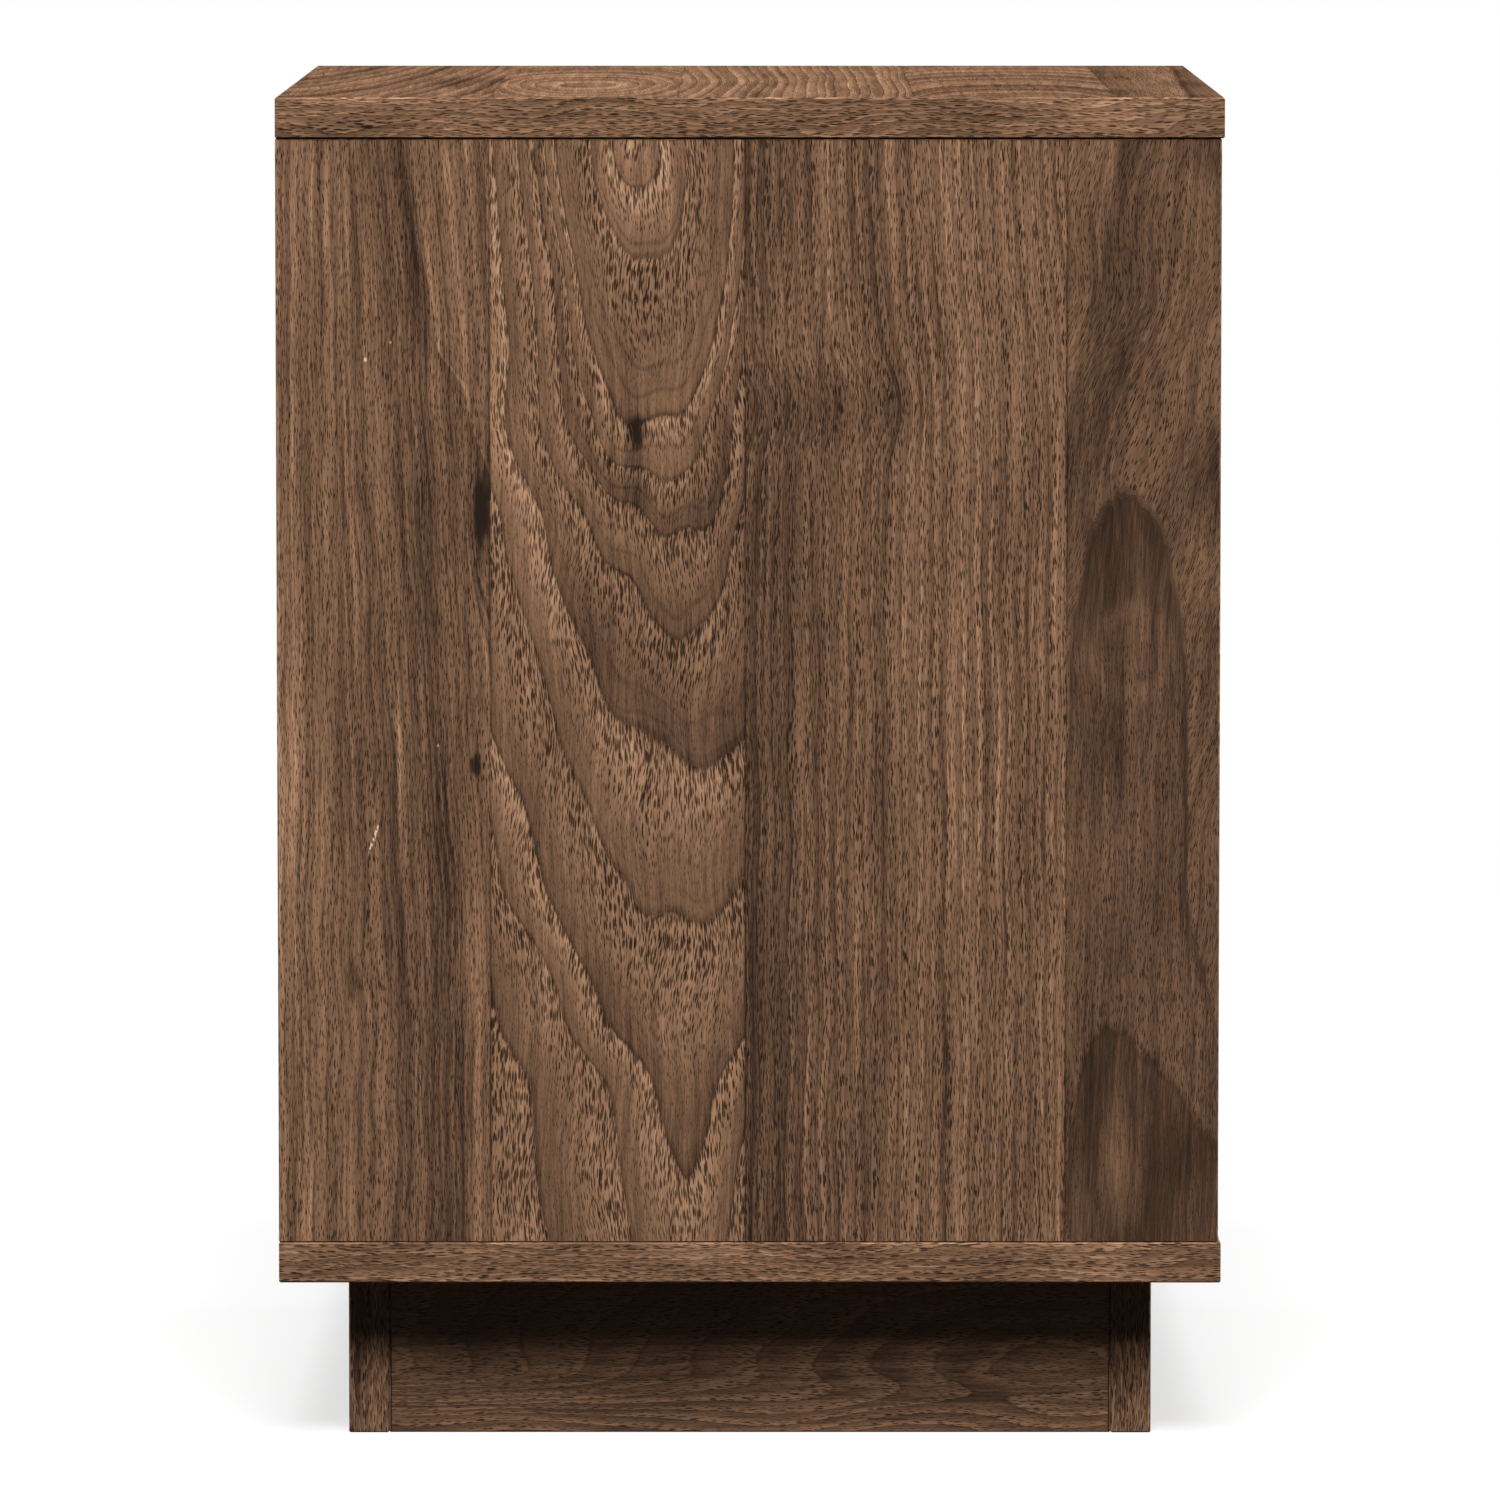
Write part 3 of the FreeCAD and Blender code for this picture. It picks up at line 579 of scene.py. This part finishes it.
# Each strip gives its arches' axis, apex and slope, its ring spacing and its tone.
TOP_SEAMS = (-95.7, -26.6, 60.8, 135.4)
TOP_STRIPS = ((-205.0, 420.0, 6.0, 56.0, 0.45), (-62.0, -50.0, 5.0, 34.0, 0.525),
              (-70.0, 0.0, 7.0, 44.0, 0.505), (100.0, -420.0, 6.5, 54.0, 0.45),
              (340.0, -350.0, 7.0, 700.0, 0.37))
UPRIGHT_STRIPS = ((-240.0, 800.0, 8.0, 95.0, 0.47), (-46.0, -140.0, 7.0, 72.0, 0.55),
                  (150.0, 900.0, 8.0, 80.0, 0.44), (150.0, 760.0, 9.0, 88.0, 0.52))
LEVEL_STRIPS = ((-230.0, -500.0, 8.0, 90.0, 0.48), (-42.0, 520.0, 7.5, 70.0, 0.54),
                (150.0, -420.0, 8.0, 78.0, 0.46), (240.0, -300.0, 8.0, 84.0, 0.51))
LOWER_FRONT_STRIPS = ((20.0, -430.0, 8.0, 84.0, 0.47), (184.0, -430.0, 8.0, 66.0, 0.54),
                      (330.0, 420.0, 8.0, 86.0, 0.48))
UPPER_FRONT_STRIPS = ((210.0, 380.0, 8.0, 88.0, 0.46), (376.0, 470.0, 8.5, 68.0, 0.55),
                      (540.0, -420.0, 8.0, 92.0, 0.49))
BACK_STRIPS = ((-330.0, 900.0, 9.0, 120.0, 0.44), (-14.0, 820.0, 9.0, 84.0, 0.47),
               (310.0, 800.0, 9.0, 120.0, 0.43))
# How far the finished edge of a drawer front reaches down, to include its finger pull
FRONT_EDGED = 24.0
# Tone of the plinth boards' edges: partly their own darker wood, partly painted shade under the
# overhang
PLINTH_EDGE_TONE_AND_SHADE = 0.455
# Distances from a plinth board's end at which the painted shade of the gap starts and is full
GAP_SHADE_START, GAP_SHADE_END = 1.2, 0.6


def figured(board, seams, strips, seed, seam_shade=0.2, figure=0.75, calm=1.0):
    """Veneer in strips. The higher calm is, the longer the waves of the grain."""
    across, along = board.places[:2]
    index = strip_index(across, seams)
    axis, apex, slope, spacing, tone = [choose(index, values) for values in zip(*strips)]
    wavy = noise(across, along, 16.0, 60.0 * calm, seed)
    bend = noise(across, along, 30.0, 50.0 * calm, seed + 1.0) * 2.0
    count = arches(across + bend - axis, along - apex + wavy * 6.0, slope, slope) / spacing
    ring = count + noise(count, index, 2.5, 1.0, seed + 2.0) * 0.4
    tone = tone + noise(count, index, 1.3, 1.0, seed + 3.0) * 0.12
    tone = tone + noise(count * spacing, index * 9.0, 9.0, 1.0, seed + 4.0, 1.0) * 0.08
    return ring, seamed(tone, across, seams, seam_shade), 0.9, figure


def left_side_material():
    board = Board("left_side_walnut", "left_side", ("-y", "-z", "x"))
    across, down = board.places[:2]
    return board.finish(*side_figure(across, down + PANEL_TOP))


def top_material():
    board = Board("top_walnut", "top_panel", ("-y", "x", "z"), edge_tone=0.585)
    ring, tone, pores, figure = figured(board, TOP_SEAMS, TOP_STRIPS, 2.0, 0.08, 1.0, calm=4.0)
    across, along = board.places[:2]
    tone = tone - spot(across, along, (-112.0, -20.0), (20.0, 120.0)) * 0.2
    return board.finish(ring, tone, pores, figure, specular=0.0)


def board_material(name, node_name, axes, seams, strips, seed, seam_shade=0.2, figure=0.75,
                   edged=EDGE_REACH, edge_tone=0.56):
    board = Board(name, node_name, axes, edged, edge_tone)
    return board.finish(*figured(board, seams, strips, seed, seam_shade, figure))


def back_material():
    board = Board("back_walnut", "back_panel", ("x", "z", "y"))
    return board.finish(*figured(
        board, (-66.0, 58.0), BACK_STRIPS, 37.0, 0.04, 0.45, calm=1.5))


def plinth_side(name, node_name, axes, apex, seed):
    """Arches that flatten to straight lines at the foot; a dark tone that is partly the wood's own
    and partly painted shade under the overhang, and painted shade of the gap at both ends.
    """
    board = Board(name, node_name, axes)
    across, along = board.places[:2]
    wavy = noise(across, along, 16.0, 60.0, seed)
    bend = noise(across, along, 30.0, 50.0, seed + 1.0) * 2.0
    count = arches(across + bend - 20.0, along - apex + wavy * 6.0, 2.6, 2.6) / 22.0
    foot = (across + noise(across, along, 40.0, 70.0, seed + 5.0) * 7.0) / 4.5
    low = ramp(across, 5.0, 24.0, 1.0, 0.0)
    # The low base tone is partly the wood's own and partly painted shade under the overhang of the
    # cabinet
    tone = 0.34 + low * 0.05 + noise(mixed(low, count * 2.0, foot), 0.5, 1.3, 1.0, seed) * 0.08
    start, end = board.limits[1]
    half = (end - start) / 2
    from_middle = (along - (start + end) / 2).absolute()
    # Painted shade of the gap between plinth boards, darkening both ends of this board
    tone = tone - ramp(from_middle, half - GAP_SHADE_START, half - GAP_SHADE_END, 0.0, 0.8)
    return board.finish(mixed(low, count, foot), tone, 0.75, 0.5 + low * 0.35, specular=0.06)


dress("left_side", left_side_material())
dress("top_panel", top_material())
dress("bottom_panel", board_material(
    "bottom_walnut", "bottom_panel", ("-y", "x", "z"), (-88.0, 14.0, 96.0), LEVEL_STRIPS, 7.0,
    edge_tone=0.53))
dress("right_side", board_material(
    "right_side_walnut", "right_side", ("y", "z", "x"), (-92.0, 6.0, 104.0), UPRIGHT_STRIPS,
    11.0))
dress("lower_drawer_front", board_material(
    "lower_front_walnut", "lower_drawer_front", ("z", "x", "y"), (143.0, 231.0),
    LOWER_FRONT_STRIPS, 13.0, edged=FRONT_EDGED))
dress("upper_drawer_front", board_material(
    "upper_front_walnut", "upper_drawer_front", ("z", "x", "y"), (338.0, 428.0),
    UPPER_FRONT_STRIPS, 17.0, edged=FRONT_EDGED))
dress("plinth_left", plinth_side(
    "plinth_left_walnut", "plinth_left", ("z", "-y", "x"), 112.0, 19.0))
dress("plinth_right", plinth_side(
    "plinth_right_walnut", "plinth_right", ("z", "y", "x"), -150.0, 23.0))
for plinth, apex, seed in (("plinth_front", -210.0, 29.0), ("plinth_back", 240.0, 31.0)):
    dress(plinth, board_material(
        plinth + "_walnut", plinth, ("z", "x", "y"), (12.0,),
        ((0.0, 600.0, 20.0, 40.0, 0.46), (26.0, apex, 5.0, 44.0, 0.45)), seed, 0.0, 0.5,
        edge_tone=PLINTH_EDGE_TONE_AND_SHADE))
dress("back_panel", back_material())


# Plain materials

FINE_GRAIN, BROAD_GRAIN = 1.0, 9.0


def surface(name, dark, light, roughness, size, depth, stretch=(1.0, 1.0, 1.0), metallic=0.0):
    """Two tones in fine patches of the given size, with a bump of the given depth, in mm."""
    material = new_material(name)
    tree = material.node_tree
    place = tree.nodes.new("ShaderNodeTexCoord")
    grains = []
    for factor in (FINE_GRAIN, BROAD_GRAIN):
        mapping = tree.nodes.new("ShaderNodeMapping")
        mapping.inputs["Scale"].default_value = [1.0 / (MM * size * factor * s) for s in stretch]
        tree.links.new(place.outputs["Object"], mapping.inputs["Vector"])
        grain = tree.nodes.new("ShaderNodeTexNoise")
        grain.inputs["Scale"].default_value = 1.0
        grain.inputs["Detail"].default_value = 2.0
        tree.links.new(mapping.outputs[0], grain.inputs["Vector"])
        grains.append(Value(tree, grain.outputs["Fac"]))
    fine, broad = grains
    colour = tone_colour(ramp(fine * 0.6 + broad * 0.4, 0.3, 0.7), ((0.0, dark), (1.0, light)))
    rough = ramp(fine, 0.3, 0.7, roughness - 0.05, roughness + 0.05)
    return close_material(material, colour, rough, fine, PLAIN_BUMP, depth, metallic=metallic)


melamine = surface("white_melamine", (224, 222, 217), (234, 232, 228), 0.38, 0.9, 0.03)
lacquer = surface("white_lacquer", (222, 220, 214), (233, 231, 226), 0.42, 1.6, 0.04)
powder = surface("powder_coat", (226, 224, 219), (238, 236, 232), 0.36, 0.7, 0.06)
nylon = surface("nylon", (232, 230, 222), (243, 241, 234), 0.34, 1.1, 0.02)
zinc_alloy = surface("zinc_alloy", (150, 150, 152), (186, 186, 188), 0.42, 0.5, 0.05, metallic=1.0)
zinc_plate = surface("zinc_plate", (176, 174, 166), (212, 211, 204), 0.30, 0.4, 0.02, metallic=1.0)
plastic = surface("brown_plastic", (58, 45, 36), (72, 57, 46), 0.55, 0.5, 0.05)
beech = surface("beech", (186, 148, 106), (214, 178, 134), 0.65, 0.5, 0.06, (1.0, 6.0, 1.0))

dress("plinth_corner_blocks", plastic)
for drawer in ("lower", "upper"):
    for side in ("left", "right"):
        dress(f"{drawer}_{side}_drawer_side", melamine)
        dress(f"{drawer}_{side}_rail", powder)
        dress(f"{drawer}_{side}_track", powder)
    dress(f"{drawer}_drawer_back", melamine)
    dress(f"{drawer}_drawer_bottom", lacquer)


# Fittings: turned shapes about Z, in millimetres, set at spots of the solid model

THREAD_PITCH, THREAD_DEPTH = 1.1, 0.35
CAM_RADIUS, BOLT_SEAT_RADIUS = 7.4, 3.5
# Distance from the seat of a bolt to the axis of its cam
CAM_REACH = 24.0
ROLLER_WIDTH, RIVET_GRIP = 6.1, 6.3
# In degrees: the turn from flute to ridge, from spoke to spoke, and over one spoke
FLUTE_ANGLE, SPOKE_ANGLE, SPOKE_WIDTH = 10.0, 60.0, 15.0
FLUTE_SCALE, SPOKE_INSET = 0.955, 0.25
SHARP_ANGLE = 32.0


def as_mesh(shape, name):
    mesh = bpy.data.meshes.new(name)
    shape.to_mesh(mesh)
    shape.free()
    return mesh


def placed(name, data):
    """A new object in the scene."""
    piece = bpy.data.objects.new(name, data)
    bpy.context.scene.collection.objects.link(piece)
    return piece


def turned(profile, count=24, closed=False):
    """Revolves (radius, height) points about Z."""
    shape = bmesh.new()
    rings = []
    for radius, height in profile:
        turns = 1 if radius == 0 else count
        angles = [2 * math.pi * (k + 0.5) / count for k in range(turns)]
        rings.append([
            shape.verts.new((radius * math.cos(a), radius * math.sin(a), height)) for a in angles
        ])
    pairs = list(zip(rings, rings[1:]))
    if closed:
        pairs.append((rings[-1], rings[0]))
    for low, high in pairs:
        for k in range(count):
            corners = (low[k % len(low)], low[(k + 1) % len(low)],
                       high[(k + 1) % len(high)], high[k % len(high)])
            shape.faces.new(list(dict.fromkeys(corners)))
    bmesh.ops.recalc_face_normals(shape, faces=shape.faces)
    return shape


def degrees_about_z(vert):
    return math.degrees(math.atan2(vert.co.y, vert.co.x))


def block(low, high):
    shape = bmesh.new()
    bmesh.ops.create_cube(shape, size=1.0)
    for vert in shape.verts:
        vert.co = [l + (h - l) * (c + 0.5) for l, h, c in zip(low, high, vert.co)]
    return shape


def carved(body, tools, name):
    """The body without the room that the tools take up."""
    worked = placed(name, as_mesh(body, name))
    holders = [worked]
    for tool in tools:
        holder = placed("tool", as_mesh(tool, "tool"))
        holders.append(holder)
        cut = worked.modifiers.new("cut", "BOOLEAN")
        cut.operation = "DIFFERENCE"
        cut.solver = "EXACT"
        cut.object = holder
    result = worked.evaluated_get(bpy.context.evaluated_depsgraph_get())
    mesh = bpy.data.meshes.new_from_object(result)
    for holder in holders:
        bpy.data.objects.remove(holder)
    return mesh


def threads(low, high, start, end):
    """Ridges from one height and radius to another."""
    turns = int(abs(high - low) / THREAD_PITCH)
    points = []
    for k in range(turns):
        for part, cut in ((0.15, THREAD_DEPTH), (0.5, 0.0), (0.7, 0.0)):
            share = (k + part) / turns
            radius = start + (end - start) * share
            points.append((max(radius - cut * radius / max(start, end), 0.15),
                           low + (high - low) * share))
    return points


def cam_mesh(floor, face):
    """Seen from its face, which looks along Z; the bolt comes in from -X."""
    body = turned([(0, floor), (7.0, floor), (CAM_RADIUS, floor + 0.4), (CAM_RADIUS, face - 0.4),
                   (7.0, face), (6.4, face), (6.1, face - 0.35), (0, face - 0.35)], 40)
    mouth = block((-7.6, -3.9, -3.9), (3.9, 3.9, min(3.9, face - 1.9)))
    slots = [block((-x, -y, face - 1.7), (x, y, face + 1.0)) for x, y in ((4.0, 0.8), (0.8, 3.0))]
    mark = block((-6.9, -0.5, face - 0.8), (-5.2, 0.5, face + 1.0))
    return carved(body, [mouth, *slots, mark], "cam")


def bolt_mesh():
    """Its threads go down from 0, into the board it is screwed to."""
    profile = [(0, -11.0), (1.7, -11.0)] + threads(-10.6, -0.4, 2.5, 2.5) + [
        (2.4, 0.0), (BOLT_SEAT_RADIUS, 0.0), (BOLT_SEAT_RADIUS, 0.9), (3.0, 1.3), (2.3, 16.0),
        (2.0, 22.5), (3.0, 22.5), (3.4, 22.9), (3.4, 25.0), (3.0, 25.5), (0, 25.5)]
    return as_mesh(turned(profile, 20), "cam_bolt")


def screw_mesh(length):
    """The face of its head is at 0, and its point at the length."""
    profile = [(0, 0.0), (3.45, 0.0), (3.62, 0.08), (1.7, 1.2)]
    profile += threads(1.6, length - 0.6, 1.62, 0.25) + [(0, length)]
    slots = [block((-x, -y, -1.0), (x, y, 0.85)) for x, y in ((2.1, 0.45), (0.45, 2.1))]
    return carved(turned(profile, 24), slots, "screw")


def dowel_mesh():
    shape = turned([(0, -9.0), (3.2, -9.0), (3.98, -8.0), (3.98, 20.0), (3.2, 21.0), (0, 21.0)], 36)
    for vert in shape.verts:
        flute = math.floor(degrees_about_z(vert) / FLUTE_ANGLE)
        if flute % 2 and vert.co.xy.length > 3.5:
            vert.co.xy *= FLUTE_SCALE
    return as_mesh(shape, "dowel")


def rivet_mesh(shoulder):
    """A stepped pin: its shoulder meets the roller, and its far end is peened."""
    end = shoulder + RIVET_GRIP
    profile = [(0, -1.2), (2.4, -1.2), (2.4, 0.0), (3.6, 0.0), (3.6, shoulder), (2.4, shoulder),
               (2.4, end), (4.4, end), (4.3, end + 0.22), (3.5, end + 0.48), (2.2, end + 0.64),
               (1.2, end + 0.7), (0.8, end + 0.4), (0, end + 0.4)]
    return as_mesh(turned(profile, 32), "rivet")


def roller_mesh():
    """Dished on both sides, with six spokes and a rounded tread."""
    half = [(2.45, 0.0), (4.6, 0.0), (5.1, 0.9), (8.3, 0.9), (8.9, 0.0), (10.0, 0.0),
            (10.35, 0.15), (10.5, 0.5)]
    shape = turned(half + [(r, ROLLER_WIDTH - h) for r, h in half[::-1]], 48, closed=True)
    for vert in shape.verts:
        if 5.0 < vert.co.xy.length < 8.5 and degrees_about_z(vert) % SPOKE_ANGLE < SPOKE_WIDTH:
            is_low = vert.co.z < ROLLER_WIDTH / 2
            vert.co.z = SPOKE_INSET if is_low else ROLLER_WIDTH - SPOKE_INSET
    return as_mesh(shape, "roller")


def spot_matrix(place, along, facing):
    along, facing = Vector(along), Vector(facing)
    turn = Matrix((facing, along.cross(facing), along)).transposed()
    return Matrix.Scale(MM, 4) @ Matrix.Translation(place) @ turn.to_4x4()


def fitting(node_name, material, mesh_spots, body="cabinet"):
    """One object with a copy of each mesh at its spots, in place of the CAD node."""
    shape = bmesh.new()
    for mesh, spots in mesh_spots:
        for spot_facts in spots:
            copy = mesh.copy()
            copy.transform(spot_matrix(*spot_facts))
            shape.from_mesh(copy)
            bpy.data.meshes.remove(copy)
    mesh = as_mesh(shape, node_name + "_look")
    mesh.materials.append(material)
    mesh.shade_smooth()
    mesh.set_sharp_from_angle(angle=math.radians(SHARP_ANGLE))
    piece = placed(node_name + "_look", mesh)
    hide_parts(node_name)
    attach(piece, body)


def both(spots):
    """The spots on the left and their mirror images on the right."""
    return spots + [
        tuple((-x, y, z) for x, y, z in facts) for facts in spots
    ]


def moved(spots, reach):
    """The spots shifted along their own axis, and turned to face where they faced before."""
    return [
        (tuple(p + a * reach for p, a in zip(place, along)), facing, along)
        for place, along, facing in spots
    ]


# Where the fittings sit

# A core is the middle of a board's thickness and a face is its surface, both measured from
# the middle plane of the cabinet. Heights are those of the lower drawer.
LEFT, RIGHT, BACKWARD, FRONTWARD = (-1, 0, 0), (1, 0, 0), (0, 1, 0), (0, -1, 0)
UP, DOWN = (0, 0, 1), (0, 0, -1)
PANEL_FOOT = 75.0
SIDE_CORE, PLINTH_CORE, BOX_CORE = 191.8, 166.8, 165.8
BOX_FACE, RAIL_FACE, TRACK_FACE, ROLLER_FACE = 171.8, 173.0, 183.1, 182.0
ROLLER_HEIGHT, RAIL_SCREW_HEIGHT, TRACK_SCREW_HEIGHT = 120.8, 121.9, 123.9
FRONT_ROLLER, REAR_ROLLER = -144.0, 128.0
DRAWER_PITCH = 203.75


def panel_spots(depths):
    """Spots at the foot and the top of a side panel, on both sides of the cabinet."""
    return both([((-SIDE_CORE, y, z), way, RIGHT) for y in depths
                 for z, way in ((PANEL_FOOT, UP), (PANEL_TOP, DOWN))])


def steel(node_name, mesh_spots, body="cabinet"):
    fitting(node_name, zinc_plate, mesh_spots, body)


carcass_bolts = panel_spots((-137.0, 115.0))
cam_bolt, dowel, short_screw = bolt_mesh(), dowel_mesh(), screw_mesh(11.5)
fitting("carcass_cam_locks", zinc_alloy,
        [(cam_mesh(-4.8, 7.3), moved(carcass_bolts, CAM_REACH))])
steel("carcass_cam_bolts", [(cam_bolt, carcass_bolts)])
fitting("carcass_dowels", beech, [(dowel, panel_spots((-105.0, 83.0)))])
fitting("plinth_dowels", beech, [(dowel, both([
    ((-PLINTH_CORE, -135.0, 30.0), BACKWARD, RIGHT),
    ((-PLINTH_CORE, 135.0, 30.0), FRONTWARD, RIGHT)]))])
steel("corner_block_screws", [
    (screw_mesh(20.0), both([((-149.3, y, 48.0), LEFT, UP) for y in (-106.2, 106.2)])),
    (screw_mesh(35.0), both([((-148.3, y, 36.0), UP, LEFT) for y in (-124.0, 124.0)])),
])
lifts = (0.0, DRAWER_PITCH)
steel("track_screws", [(short_screw, both([
    ((-TRACK_FACE, y, TRACK_SCREW_HEIGHT + lift), LEFT, UP)
    for y in (-67.0, 83.0) for lift in lifts]))])
steel("track_rivets", [(rivet_mesh(1.0), both([
    ((-TRACK_FACE, FRONT_ROLLER, ROLLER_HEIGHT + lift), RIGHT, UP) for lift in lifts]))])

box_cam, back_screw, rail_rivet, wheel = (
    cam_mesh(-3.3, 5.8), screw_mesh(30.0), rivet_mesh(2.8), roller_mesh())
for drawer, lift in zip(("lower", "upper"), lifts):
    body = drawer + "_drawer"
    bolts = both([((-BOX_CORE, -159.0, z + lift), BACKWARD, LEFT) for z in (161.0, 222.1)])
    fitting(body + "_cam_locks", zinc_alloy, [(box_cam, moved(bolts, CAM_REACH))],
            body)
    steel(body + "_cam_bolts", [(cam_bolt, bolts)], body)
    steel(body + "_back_screws", [(back_screw, both([
        ((-BOX_FACE, 135.0, z + lift), RIGHT, UP) for z in (150.6, 213.0)]))], body)
    steel(drawer + "_rail_screws", [(short_screw, both([
        ((-RAIL_FACE, y, RAIL_SCREW_HEIGHT + lift), RIGHT, UP) for y in (-84.0, 57.0)]))], body)
    steel(drawer + "_rail_rivets", [(rail_rivet, both([
        ((-RAIL_FACE, REAR_ROLLER, ROLLER_HEIGHT + lift), LEFT, UP)]))], body)
    for end, y in (("front", FRONT_ROLLER), ("rear", REAR_ROLLER)):
        for side, x, way in (("left", -ROLLER_FACE, RIGHT), ("right", ROLLER_FACE, LEFT)):
            name = f"{drawer}_{side}_{end}_roller"
            fitting(name, nylon,
                    [(wheel, [((x, y, ROLLER_HEIGHT + lift), way, UP)])], name)


# Floor, light and camera

FLOOR_REACH = 40.0
# Between these distances the floor's own glow grows from its share near the object to all
FADE_START, FADE_END, NEAR_GLOW = 0.6, 2.0, 0.68
# Brightness where the eye sees the floor and the sky, and where they only light the object
FLOOR_SEEN, FLOOR_UNSEEN = 0.98, 0.02
SKY_SEEN, SKY_UNSEEN = 1.0, 0.03
# Name, azimuth, elevation, strength and spread
LAMPS = (("main_lamp", 270.0, 57.0, 3.92, 30.0), ("front_lamp", 14.0, 8.0, 1.9, 30.0),
         ("right_lamp", 90.0, 8.0, 1.6, 40.0), ("back_lamp", 166.0, 8.0, 1.5, 30.0))
LAMP_DISTANCE = 3.0
CAMERA_PLACE = (-4.3302, -0.0028, 0.6330)
CAMERA_PITCH, CAMERA_YAW = 5.1766, 0.0379
CAMERA_LENS, CAMERA_SENSOR = 268.93, 36.0


def looks_seen(tree):
    """1 for rays that the eye follows, straight, mirrored or through glass."""
    path = tree.nodes.new("ShaderNodeLightPath")
    seen = Value(tree, path.outputs["Is Camera Ray"])
    for label in ("Is Glossy Ray", "Is Transmission Ray"):
        seen = seen.at_least(Value(tree, path.outputs[label]))
    return seen


def floor():
    """Pale to the eye, with the object's shadow, and fading to plain white far away."""
    mesh = bpy.data.meshes.new("floor")
    corners = [(x * FLOOR_REACH, y * FLOOR_REACH, 0.0)
               for x, y in ((-1, -1), (1, -1), (1, 1), (-1, 1))]
    mesh.from_pydata(corners, [], [(0, 1, 2, 3)])
    plane = placed("floor", mesh)
    material = new_material("floor_white")
    tree = material.node_tree
    seen = looks_seen(tree)
    place = tree.nodes.new("ShaderNodeTexCoord")
    reach = tree.nodes.new("ShaderNodeVectorMath")
    reach.operation = "LENGTH"
    tree.links.new(place.outputs["Object"], reach.inputs[0])
    distance = Value(tree, reach.outputs["Value"])
    grey = mixed(seen, FLOOR_UNSEEN, FLOOR_SEEN)
    colour = fill(tree, tree.nodes.new("ShaderNodeCombineColor"), grey, grey, grey)
    diffuse = fill(tree, tree.nodes.new("ShaderNodeBsdfDiffuse"), colour)
    glow = tree.nodes.new("ShaderNodeEmission")
    glow.inputs["Strength"].default_value = 1.0
    white = ramp(distance, FADE_START, FADE_END, NEAR_GLOW, 1.0) * seen
    mix = fill(tree, tree.nodes.new("ShaderNodeMixShader"), white, diffuse,
               Value(tree, glow.outputs[0]))
    output = tree.nodes.new("ShaderNodeOutputMaterial")
    feed(tree, output.inputs[0], mix)
    mesh.materials.append(material)


def lamp(name, azimuth, elevation, strength, spread):
    """A soft distant lamp; azimuth 0 stands in front of the drawers, 90 on the right."""
    light = bpy.data.lights.new(name, "SUN")
    light.energy = strength
    light.angle = math.radians(spread)
    holder = placed(name, light)
    a, e = math.radians(azimuth), math.radians(elevation)
    towards = Vector((math.sin(a) * math.cos(e), -math.cos(a) * math.cos(e), math.sin(e)))
    holder.rotation_mode = "QUATERNION"
    holder.rotation_quaternion = towards.to_track_quat("Z", "Y")
    holder.location = towards * LAMP_DISTANCE


def world():
    sky = bpy.data.worlds.new("studio")
    bpy.context.scene.world = sky
    sky.use_nodes = True
    tree = sky.node_tree
    tree.nodes.clear()
    back = tree.nodes.new("ShaderNodeBackground")
    feed(tree, back.inputs["Strength"], mixed(looks_seen(tree), SKY_UNSEEN, SKY_SEEN))
    output = tree.nodes.new("ShaderNodeOutputWorld")
    tree.links.new(back.outputs[0], output.inputs[0])


def camera():
    lens = bpy.data.cameras.new("camera")
    lens.lens = CAMERA_LENS
    lens.sensor_width = CAMERA_SENSOR
    holder = placed("camera", lens)
    holder.location = CAMERA_PLACE
    pitch, yaw = math.radians(CAMERA_PITCH), math.radians(CAMERA_YAW)
    ahead = Vector((math.cos(pitch) * math.cos(yaw), math.cos(pitch) * math.sin(yaw),
                    -math.sin(pitch)))
    holder.rotation_mode = "QUATERNION"
    holder.rotation_quaternion = ahead.to_track_quat("-Z", "Y")
    bpy.context.scene.camera = holder


floor()
for lamp_facts in LAMPS:
    lamp(*lamp_facts)
world()
camera()
bpy.context.scene.view_settings.view_transform = "Standard"
